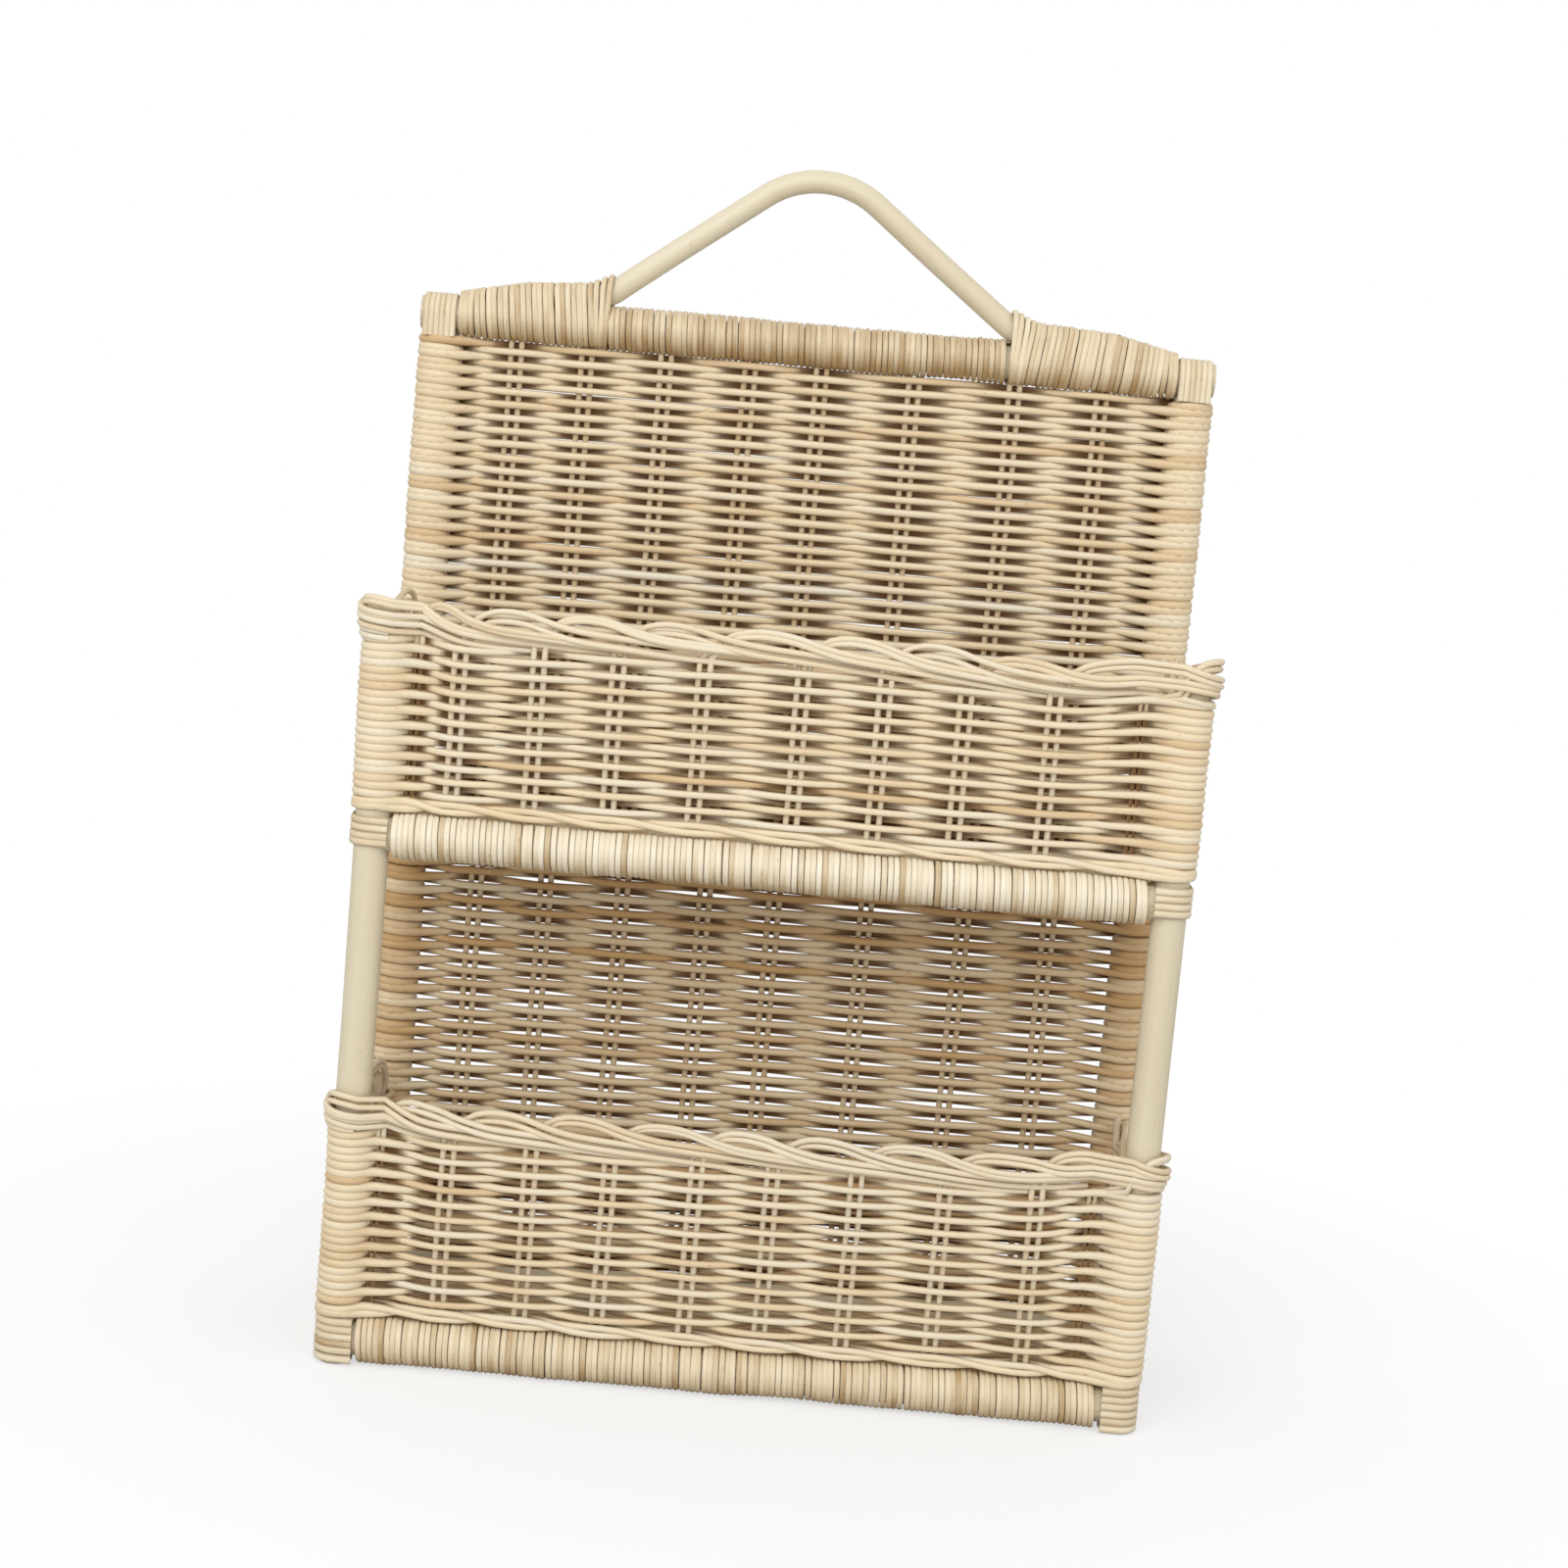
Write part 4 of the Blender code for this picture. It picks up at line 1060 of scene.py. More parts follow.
@dataclass
class Floor:
    """Floor of one pocket: bearers from front to rear and a weave round both side rails."""

    loom: Loom
    name: str
    height: float
    bearer_end: float
    weave_end: float
    seed: int
    bearers: int = 6
    bearer: float = 4 * MM
    bearer_sides: int = 10
    bearer_points: int = 10
    bearer_tints: Drift = Drift(4, 0.1, 0.5)
    front_edge: float = -42.25 * MM
    turn_tint: float = 0.1
    # Painted shade: the floor inside a pocket is darker all over.
    painted_shade: Table = ((0.0, 0.25),)

    def build(self) -> None:
        """Lays the bearers and weaves the floor."""
        step = 2 * POLES.half_wide / (self.bearers + 1)
        places = [step * (index + 1) - POLES.half_wide for index in range(self.bearers)]
        chance = random.Random(self.seed)
        depths = np.linspace(self.front_edge, self.bearer_end, self.bearer_points)
        strands = [Strand.along([(x, y, self.height) for y in depths], (0, 0, 1),
                                self.bearer_tints.draw(self.bearer_points, chance)) for x in places]
        self.loom.make(f"{self.name}_floor_bearers", strands,
                       Section(self.bearer, self.bearer, self.bearer_sides), Palette.stake,
                       [f"{self.name}_floor_bearer_{number}" for number in range(1, self.bearers + 1)])
        FlatPanel(self.loom, f"{self.name}_floor_weaving", f"{self.name}_floor_weave", places, 0.0,
                  self.bearer / 2, self.weave_end - self.front_edge,
                  lambda x, across, along: (x, self.front_edge + along, self.height - across), (0, 1, 0),
                  self.seed + 1, turn_tint=self.turn_tint, painted_shade=self.painted_shade).build()


@dataclass(frozen=True)
class Column:
    """One stake of a pocket: its place, the way of travel past it, its rods' shifts and their radius."""

    place: Spot
    travel: Spot
    shifts: tuple[float, ...]
    radius: float

    @property
    def outward(self) -> Spot:
        """The way out of the pocket."""
        return (self.travel[1], -self.travel[0])

    @property
    def heading(self) -> float:
        """Angle of the way of travel."""
        return math.atan2(self.travel[1], self.travel[0])

    def spot(self, shift: float, offset: float = 0.0) -> Spot:
        """Place shifted along the way of travel and outwards."""
        return tuple(p + t * shift + o * offset for p, t, o in zip(self.place, self.travel, self.outward))


@dataclass
class Pocket:
    """One pocket: a weave on three sides, twisted rows at its foot, stakes and a plaited rim."""

    loom: Loom
    name: str
    front_sill: float
    side_sill: float
    end_sill: float
    rim_height: float
    crown: float
    shares: tuple[float, ...]
    corner_shares: Spot
    seed: int
    end_place: float = 35.0 * MM
    side_shares: Spot = (1 / 3, 2 / 3)
    stake: float = 2.6 * MM
    end_stake: float = 4.5 * MM
    half_pair: float = 2.25 * MM
    corner_inset: float = 1.0 * MM
    weaver: float = 2.9 * MM
    pitch: float = 2.85 * MM
    press: float = 0.9 * MM
    turn_step: float = math.radians(26)
    corner_step: float = math.radians(25)
    corner_approach_steps: int = 3
    stray: float = 0.17 * MM
    weave_tints: Drift = Drift(45, 0.16, 0.55)
    weave_girths: Drift = Drift(14, 0.035)
    wale_height: float = 5.9 * MM
    wale_rods: int = 3
    wale_rise: float = 1.45 * MM
    wale_tints: Drift = Drift(30, 0.16, 0.6)
    # Painted shade on single stakes under the rim: how far their outer faces darken as in a hollow; at the
    # front corners also how much thinner they are and how much tint is taken away.
    corner_shade: float = 0.9
    corner_slim: float = 0.4
    corner_shade_tint: float = 0.7
    corner_tint: float = -0.05
    corner_girth: float = 0.4
    corner_span: float = 11.0 * MM
    rim_drop: float = 6.2 * MM
    rim_reach: float = 4.6 * MM
    rim_half: float = 8.9 * MM
    rim_lap: float = 0.9 * MM
    rim_middle: float = 0.48
    post_squeeze: float = 0.35
    post_sweep: float = math.radians(150)
    climbs: tuple[Spot, Spot] = ((5.0 * MM, 16.0 * MM), (8.5 * MM, 27.0 * MM))
    climb_loss: float = 0.25
    climb_full: float = 0.2
    climb_fall: float = 1.2
    rim_rod: float = 2.6 * MM
    rim_rods_before: int = 3
    rim_nodes: int = 4
    rim_pair: float = 1.2 * MM
    rim_tint: Spot = (0.6, 0.1)
    rim_strays: Spot = (0.4 * MM, 0.75 * MM)
    rim_length: float = 3.9
    rim_end: float = 0.3
    rim_step: float = 0.1
    rim_bend: float = 0.4
    rim_bend_drop: float = 4 * MM
    rim_shade_drop: float = 3 * MM
    rod_points: int = 9
    rod_tints: Drift = Drift(12, 0.06, 0.0)
    rod_girths: Drift = Drift(8, 0.03)
    rim_path: tuple[Point, ...] = (
        (0, -0.1, -1.0), (0.12, -0.1, -0.15), (0.3, 0.05, 0.6), (0.55, 0.3, 0.84), (0.85, 0.55, 0.7),
        (1.15, 0.82, 0.26), (1.5, 0.98, -0.12), (2.0, 0.85, -0.36), (2.5, 0.5, -0.58), (3.0, 0.2, -0.8),
        (3.5, -0.12, -1.0), (4, -0.4, -1.1))
    rim_path_steps: int = 8
    chance: random.Random = field(init=False)

    def __post_init__(self) -> None:
        """Works out the columns and the rim's curve, and seeds the source of chance."""
        self.chance = random.Random(self.seed)
        self.rim_curve = smooth(self.rim_path, self.rim_path_steps)
        sides = [self.end_place + (POLES.front - self.end_place) * share for share in self.side_shares]
        pair = (-self.half_pair, self.half_pair)
        rod = self.stake / 2
        left = [Column((-POLES.half_wide, y), (0, -1), pair, rod) for y in sides]
        corners = [Column((share * POLES.half_wide, POLES.front + self.corner_inset), (1, 0), (0.0,), rod)
                   for share in self.corner_shares]
        front = [Column((share * POLES.half_wide, POLES.front), (1, 0), pair, rod) for share in self.shares]
        right = [Column((POLES.half_wide, y), (0, 1), pair, rod) for y in sides[::-1]]
        self.columns = left + corners[:1] + front + corners[1:] + right
        ends = [Column((side * POLES.half_wide, self.end_place), (0, side), (0.0,), self.end_stake / 2)
                for side in (LEFT, RIGHT)]
        self.rim_columns = [ends[0], *self.columns, ends[1]]

    @property
    def rim_centre(self) -> float:
        """Height of the middle of the rim at the corners."""
        return self.rim_height - self.rim_half

    def lift(self, x: float) -> float:
        """Rise of the rim at one place across the front."""
        return self.crown * (1 - min(1.0, abs(x) / POLES.half_wide) ** 2)

    def sill(self, y: float) -> float:
        """Lowest edge of the weave at one depth."""
        share = min(1.0, max(0.0, (y - POLES.front) / (POLES.pole_radius + self.weaver / 2)))
        return self.front_sill + (self.side_sill - self.front_sill) * share

    def crest(self, column: Column) -> float:
        """Distance of a weaver's middle from a column's line."""
        return column.radius + self.weaver / 2

    def edges(self, column: Column, offset: float) -> Plan:
        """The one or two places where a weaver meets and leaves a column's rods, at an offset outwards."""
        return [column.spot(shift, offset) for shift in column.shifts]

    def link(self, here: Column, out: float, after: Column, out_after: float) -> Plan:
        """Inner points of a weaver between two columns, round the post where they stand at a corner.

        Args:
            here: The column that it leaves.
            out: Its distance outwards there.
            after: The column that it comes to.
            out_after: Its distance outwards there.

        Returns:
            The plan points.
        """
        start, end = self.edges(here, out)[-1], self.edges(after, out_after)[0]
        if here.travel == after.travel:
            run = sum((q - p) * t for p, q, t in zip(start, end, here.travel))
            return [tuple(p + t * along + o * (across - out)
                          for p, t, o in zip(start, here.travel, here.outward))
                    for along, across in wave((0.0, out), (run, out_after))]
        radius = POLES.pole_radius + self.weaver / 2 - self.press
        centre = (math.copysign(POLES.half_wide, start[0]), POLES.front)
        first = here.heading - math.asin((radius - out) / math.dist(centre, here.place))
        last = after.heading + math.asin((radius - out_after) / math.dist(centre, after.place))
        way_in, way_out = ((math.cos(angle), math.sin(angle)) for angle in (first, last))
        ring = arc(centre, radius, first, last, self.corner_step)
        approach = hermite(start, here.travel, ring[0], way_in, self.corner_approach_steps)
        return approach + ring + hermite(ring[-1], way_out, end, after.travel)

    def row_plan(self, row: int) -> Plan:
        """Plan of one row from the left end to the right end.

        Args:
            row: The row's number.

        Returns:
            The plan points.
        """
        outs = [self.crest(column) * side_passed(row, index) for index, column in enumerate(self.columns)]
        plan = self.edges(self.columns[0], outs[0])
        for here, out, after, out_after in zip(self.columns, outs, self.columns[1:], outs[1:]):
            plan += self.link(here, out, after, out_after) + self.edges(after, out_after)
        return plan

    def turn_plan(self, side: int, row: int) -> Plan:
        """Way round the stake beside a back post, at one end of a row.

        Args:
            side: The end.
            row: The row that ends there.

        Returns:
            The plan points.
        """
        index = len(self.columns) - 1 if side == RIGHT else 0
        column = self.columns[index]
        depth = column.place[1]
        turn = Turn.round_pole((self.end_stake + self.weaver) / 2, self.crest(column), self.end_place - depth,
                               self.half_pair, side_passed(row, index), 0, self.turn_step)
        turn = turn.placed(lambda ahead, aside: (side * (POLES.half_wide + aside), depth + ahead))
        return turn.approach + turn.ring + turn.parting

    def build(self) -> None:
        """Weaves the pocket and plaits its rim."""
        self.build_weave()
        self.build_rim()

    def build_weave(self) -> None:
        """Makes the weave and the twisted rows at its foot."""
        top = self.rim_centre - self.rim_half + self.rim_lap
        low = max(self.front_sill, self.side_sill) + self.wale_height
        rows = int((top - low) / self.pitch)

        def height(row: float, x: float, y: float) -> float:
            """Height of a row's middle at one place.

            Args:
                row: The row's number, with a share where it climbs to the next.
                x: Place across the front.
                y: Depth.

            Returns:
                The height.
            """
            foot = self.sill(y) + self.wale_height
            crown = top + self.lift(x) + self.climb(x, y, -self.rim_drop)
            return foot + (crown - foot) * (row + 0.5) / rows

        points: list[Point] = []
        for row in range(rows):
            side = LEFT if row % 2 else RIGHT
            plan = self.row_plan(row)[::side]
            stray = self.chance.gauss(0, self.stray)
            points += [(x, y, height(row, x, y) + stray) for x, y in plan]
            if row + 1 < rows:
                turn = self.turn_plan(side, row)
                last = len(turn) - 1
                points += [(x, y, height(row + index / last, x, y)) for index, (x, y) in enumerate(turn)]
        strands = [self._upright(points, self.weave_tints)] + self.wale()
        self.loom.make(f"{self.name}_weaving", strands, Section(self.weaver, self.weaver), Palette.weaver,
                       [f"{self.name}_weave"])

    def _upright(self, points: Sequence[Point], tints: Drift) -> Strand:
        """A weaver along points, its facing square to its route and level.

        Args:
            points: The route.
            tints: How its tint changes.

        Returns:
            The strand.
        """
        route = np.array(points)
        outward = np.cross(np.gradient(route, axis=0), (0, 0, 1))
        before = POLES.front - route[:, 1]
        beside = np.abs(route[:, 0]) - POLES.half_wide
        way = np.where(before > beside, -outward[:, 1], outward[:, 0] * np.sign(route[:, 0]))
        stand = np.clip(2 * np.maximum(before, beside) / (self.stake + self.weaver), -1, 1) * np.sign(way)
        near = np.exp(-(self.post_gap(route) / self.corner_span)**2)
        tint = tints.draw(len(route), self.chance) + self.corner_tint * near
        girth = self.weave_girths.draw(len(route), self.chance) + self.corner_girth * near
        return Strand.along(route, outward, tint, girth, stand)

    @staticmethod
    def post_gap(route: np.ndarray) -> np.ndarray:
        """Distance of places, in plan, from the weave on the nearer front post."""
        aside = np.abs(np.abs(route[..., 0]) - POLES.half_wide)
        return np.maximum(0.0, np.hypot(aside, route[..., 1] - POLES.front) - POLES.wrapped_radius)

    def wale(self) -> list[Strand]:
        """Rods twisted along the foot of the weave, each over two columns and behind one.

        Returns:
            The rods.
        """
        rises = (0.0, self.wale_rise, -self.wale_rise)
        strands = []
        for number in range(self.wale_rods):
            points: list[Point] = []
            before: tuple[Column, float, float] | None = None
            for index, column in enumerate(self.columns):
                phase = (index + number) % self.wale_rods
                out = self.crest(column) * (1 if phase else -1)
                rise = rises[phase]
                if before is not None:
                    inner = self.link(*before[:2], column, out)
                    points += [(x, y, before[2] + (rise - before[2]) * eased(step / (len(inner) + 1)))
                               for step, (x, y) in enumerate(inner, start=1)]
                points += [(x, y, rise) for x, y in self.edges(column, out)]
                before = (column, out, rise)
            route = [(x, y, self.sill(y) + self.wale_height / 2 + rise) for x, y, rise in points]
            strands.append(self._upright(route, self.wale_tints))
        return strands

    def lane(self, phase: float) -> Spot:
        """Where a rim strand runs, some way along its course.

        Args:
            phase: The way gone, counted in stake gaps.

        Returns:
            Its distance outwards and its rise over the middle of the rim.
        """
        phases, outs, rises = self.rim_curve.T
        return (float(np.interp(phase, phases, outs)) * self.rim_reach,
                float(np.interp(phase, phases, rises)) * self.rim_drop)

    def rim_seat(self, where: float, out: float, rise: float) -> tuple[Point, Point]:
        """Place of a rim strand at a spot counted in the rim's columns, and the way out there.

        Args:
            where: The spot; 2.5 is halfway between the columns 2 and 3.
            out: Distance outwards.
            rise: Rise over the middle of the rim.

        Returns:
            The point and the outward direction.
        """
        columns = self.rim_columns
        index = min(len(columns) - 1, max(0, math.floor(where)))
        share = where - index
        here = columns[index]
        after = columns[min(index + 1, len(columns) - 1)]
        outward = here.outward
        if here.travel != after.travel:
            radius = POLES.pole_radius + self.weaver / 2
            radius += (out + self.rim_middle * self.rim_reach) * self.post_squeeze
            heading = (here.heading + after.heading) / 2 + self.post_sweep * (share - 0.5)
            outward = (math.sin(heading), -math.cos(heading))
            x = math.copysign(POLES.half_wide, here.place[0]) + outward[0] * radius
            y = POLES.front + outward[1] * radius
            return (x, y, self.rim_centre + rise + self.climb(x, y, rise)), (*outward, 0.0)
        if here is after:
            x, y = here.spot(math.dist(here.place, columns[-2].place) * share, out)
        else:
            x, y = (p + (q - p) * share + o * out for p, q, o in zip(here.place, after.place, outward))
        return (x, y, self.rim_centre + rise + self.lift(x) + self.climb(x, y, rise)), (*outward, 0.0)

    def climb(self, x: float, y: float, rise: float) -> float:
        """Rise of the rim where it climbs over a front post, less for its lowest strands.

        Args:
            x: Place across the front.
            y: Depth.
            rise: The strand's rise over the middle of the rim.

        Returns:
            The further rise.
        """
        lift, span = self.climbs[0 if x < 0 else 1]
        near = math.exp(-(float(self.post_gap(np.array((x, y)))) / span)**2)
        below = (rise / self.rim_drop - self.climb_full) / self.climb_fall
        return lift * near * (1 - self.climb_loss * below**2)

    def build_rim(self) -> None:
        """Makes every stake, turned down at its top into the plait of the rim."""
        strands = []
        for index in range(-self.rim_rods_before, len(self.rim_columns)):
            column = self.rim_columns[max(0, index)]
            shifts = column.shifts if len(column.shifts) > 1 else (-self.rim_pair, self.rim_pair)
            tint = self.chance.gauss(*self.rim_tint)
            strands += [self._rim_rod(index, column, shift, tint) for shift in shifts]
        self.loom.make(f"{self.name}_plait", strands, Section(self.rim_rod, self.rim_rod), Palette.rim,
                       [f"{self.name}_rim_{number}" for number in range(1, self.rim_nodes + 1)])

    def _rim_rod(self, index: int, column: Column, shift: float, tint: float) -> Strand:
        """One rod of a stake: up through the weave, over into the rim and along it.

        Args:
            index: The column where it starts, negative for one laid in before the first.
            column: That column, or the first.
            shift: The rod's shift along the panel.
            tint: The stake's tint.

        Returns:
            The rod.
        """
        columns = self.rim_columns
        aside = self.rim_rod / 2 * (1 if shift < 0 else -1)
        low = self.rim_centre - self.rim_drop
        seats: list[Point] = []
        facings: list[Point] = []
        if index >= 0:
            x, y = column.spot(shift)
            foot = self.end_sill if column in (columns[0], columns[-1]) else self.sill(y)
            knee = low + self.lift(x) + self.climb(x, y, -self.rim_drop) - self.rim_bend_drop
            seats += [(x, y, z) for z in np.linspace(foot, knee, self.rod_points)]
            facings += [(*column.outward, 0.0)] * self.rod_points
        first = max(0.0, -index)
        final = min(self.rim_length, len(columns) - 1 + self.rim_end - index)
        stray_out, stray_rise = (self.chance.gauss(0, stray) for stray in self.rim_strays)
        for phase in np.linspace(first, final, max(3, round((final - first) / self.rim_step))):
            out, rise = self.lane(phase)
            (x, y, z), outward = self.rim_seat(index + phase, out + stray_out, rise + stray_rise)
            bent = min(1.0, phase / self.rim_bend)
            shrink = shift * (1 - bent)
            seats.append((x + column.travel[0] * shrink, y + column.travel[1] * shrink, z + aside * bent))
            facings.append(outward)
        route = np.array(seats)
        # Painted shade under the rim: rods of single stakes get a face darkened as in a hollow; at the front
        # corners they are also darker and thinner.
        under = (route[:, 2] < low - self.rim_shade_drop) * (len(column.shifts) == 1)
        hidden = under * (column.place[1] < 0)
        tints = tint + self.rod_tints.draw(len(route), self.chance) - self.corner_shade_tint * hidden
        girth = self.rod_girths.draw(len(route), self.chance) - self.corner_slim * hidden
        return Strand.along(route, facings, tints, girth, -self.corner_shade * under)


@dataclass(frozen=True)
class CaneWork:
    """Measures that all wound cane shares."""

    pitch: float = 2.4 * MM
    thickness: float = 1.9 * MM
    sides: int = 6
    # Tint taken away as painted shade on the underside of wound cane.
    painted_shade: float = 0.42
    tone_spread: float = 0.09
    palest: float = 0.95
    deepest: float = 0.05
    worn: float = 0.2
    lift: float = 0.12 * MM

    def tone(self, middle: float, chance: random.Random) -> float:
        """Tone of one turn."""
        return min(self.palest, max(self.deepest, chance.gauss(middle, self.tone_spread)))


CANE = CaneWork()


@dataclass
class RailWinding:
    """Cane wound side by side round a straight rail."""

    loom: Loom
    name: str
    replaces: str
    start: float
    end: float
    centre: Spot
    finish: Finish
    seed: int
    tone: float = 0.58
    steps: int = 18
    slip: float = 0.2 * MM
    worn_every: int = 13
    worn_spread: int = 9
    swells: Drift = Drift(11, 0.22 * MM, 0.0)
    lap: float = 1.08

    def build(self) -> None:
        """Winds the cane."""
        chance = random.Random(self.seed)
        turns = max(1, round((self.end - self.start) / CANE.pitch))
        pitch = (self.end - self.start) / turns
        radius = POLES.binding_outer - CANE.thickness / 2
        slips = [chance.gauss(0, self.slip) for _ in range(turns + 1)]
        tones = [CANE.tone(self.tone, chance) for _ in range(turns + 1)]
        for turn in range(0, turns, self.worn_every):
            tones[min(turns, turn + chance.randrange(self.worn_spread))] = CANE.worn
        swells = self.swells.draw(turns + 1, chance)
        lifts = [float(swell) + chance.gauss(0, CANE.lift) for swell in swells]
        points, outward, tint = [], [], []
        for count in range(turns * self.steps + 1):
            whole, share = divmod(count / self.steps, 1)
            turn = min(int(whole), turns - 1)
            slip, lift = (row[turn] + (row[turn + 1] - row[turn]) * share for row in (slips, lifts))
            angle = TAU * count / self.steps + math.pi / 2
            ahead, up = math.cos(angle), math.sin(angle)
            x = min(self.end, max(self.start, self.start + pitch * count / self.steps + slip))
            out = radius + lift
            points.append((x, self.centre[0] + out * ahead, self.centre[1] + out * up))
            outward.append((0.0, ahead, up))
            # Painted shade: the underside of each turn is darker.
            tint.append(tones[turn] - CANE.painted_shade * max(0.0, -up))
        self.loom.make(self.name, [Strand.along(points, outward, np.array(tint))],
                       Section(pitch * self.lap, CANE.thickness, CANE.sides), self.finish, [self.replaces])


@dataclass
class HandleBinding:
    """Cane wound round one foot of the handle and the rail under it."""

    loom: Loom
    poles: PoleWork
    word: str
    side: int
    seed: int
    inset: float = 3.5 * MM
    taper: float = 30 * MM
    knee_cut: float = 0.1
    end_cut: float = 0.08
    lean: float = math.radians(8)
    rail_steps: int = 6
    rod_steps: int = 8
    worn_chance: float = 0.08
    tone: float = 0.5
    slip: float = 0.14 * MM
    lean_turns: int = 3
    lap: float = 1.1

    def stations(self) -> list[Point]:
        """Where the belt changes, from the inner end to the post.

        Returns:
            X, the rod's height above the rail's centre and its radius, for each station.
        """
        poles = self.poles
        slope = math.atan2(poles.corner_rise(), poles.half_span)
        bend = poles.half_span + poles.bend_radius * math.tan(slope / 2)
        turned = math.asin((bend - poles.half_span + self.inset) / poles.bend_radius)
        lifted = poles.foot_rise + poles.bend_radius * (1 - math.cos(turned))
        outer = self.side * (POLES.half_wide - POLES.binding_inner)
        tip = POLES.pole_radius / 2
        radius = poles.handle_radius
        knee = poles.shift + self.side * bend
        feet = ((knee, poles.shaved(knee) + self.knee_cut),
                (outer - self.side * self.taper, poles.foot_shave + self.end_cut))
        return [(poles.shift + self.side * (poles.half_span - self.inset), lifted, radius / math.cos(turned)),
                *((x, poles.foot_rise - radius * cut, radius * (1 - cut)) for x, cut in feet),
                (outer, tip, POLES.pole_radius - tip * math.cos(slope))]

    def outline(self, height: float, rod: float, offset: float) -> list[tuple[float, float, float, float]]:
        """Closed belt round the rail and the rod above it.

        Args:
            height: The rod's height above the rail's centre.
            rod: The rod's radius.
            offset: Distance of the belt from both.

        Returns:
            Offset in Y and Z with the outward direction, from the bottom round.
        """
        low, high = POLES.pole_radius + offset, rod + offset
        switch = math.asin(max(-1.0, min(1.0, (low - high) / height)))
        rail = [(switch + math.pi / 2) * step / self.rail_steps for step in range(self.rail_steps + 1)]
        over = [(math.pi - 2 * switch) * step / self.rod_steps for step in range(self.rod_steps + 1)]
        parts = ((low, 0.0, -math.pi / 2, rail), (high, height, switch, over),
                 (low, 0.0, math.pi - switch, rail[:-1]))
        belt = []
        for radius, rise, start, angles in parts:
            for angle in angles:
                ahead, up = math.cos(start + angle), math.sin(start + angle)
                belt.append((radius * ahead, rise + radius * up, ahead, up))
        return belt

    def build(self) -> None:
        """Winds the cane from the inner end outwards."""
        chance = random.Random(self.seed)
        places, heights, radii = zip(*self.stations())
        places = [abs(x) for x in places]
        length = places[-1] - places[0]
        turns = round(length / CANE.pitch)
        points, outward, tint = [], [], []
        offset = POLES.binding_outer - POLES.pole_radius - CANE.thickness / 2
        count = 2 * self.rail_steps + self.rod_steps + 2
        for turn in range(turns):
            tone = CANE.worn if chance.random() < self.worn_chance else CANE.tone(self.tone, chance)
            slip = chance.gauss(0, self.slip)
            lifted = chance.gauss(0, CANE.lift)
            lean = math.tan(self.lean) * max(0.0, min(1.0, turn / self.lean_turns,
                                                      (turns - 1 - turn) / self.lean_turns))
            for step in range(count):
                along = places[0] + (turn + step / count) * length / turns
                height, rod = (float(np.interp(along, places, row)) for row in (heights, radii))
                y, z, ahead, up = self.outline(height, rod, offset + lifted)[step]
                x = along + slip + lean * (z - height / 2)
                x = min(places[-1] - CANE.pitch / 2, max(places[0] + CANE.pitch / 2, x))
                points.append((self.side * x, POLES.back + y, POLES.top_height + z))
                outward.append((0.0, ahead, up))
                # Painted shade: the underside of each turn is darker.
                tint.append(tone - CANE.painted_shade * max(0.0, -up))
        self.loom.make(f"handle_cane_{self.word}", [Strand.along(points, outward, np.array(tint))],
                       Section(CANE.pitch * self.lap, CANE.thickness, CANE.sides), Palette.cane,
                       [f"handle_binding_{self.word}"])


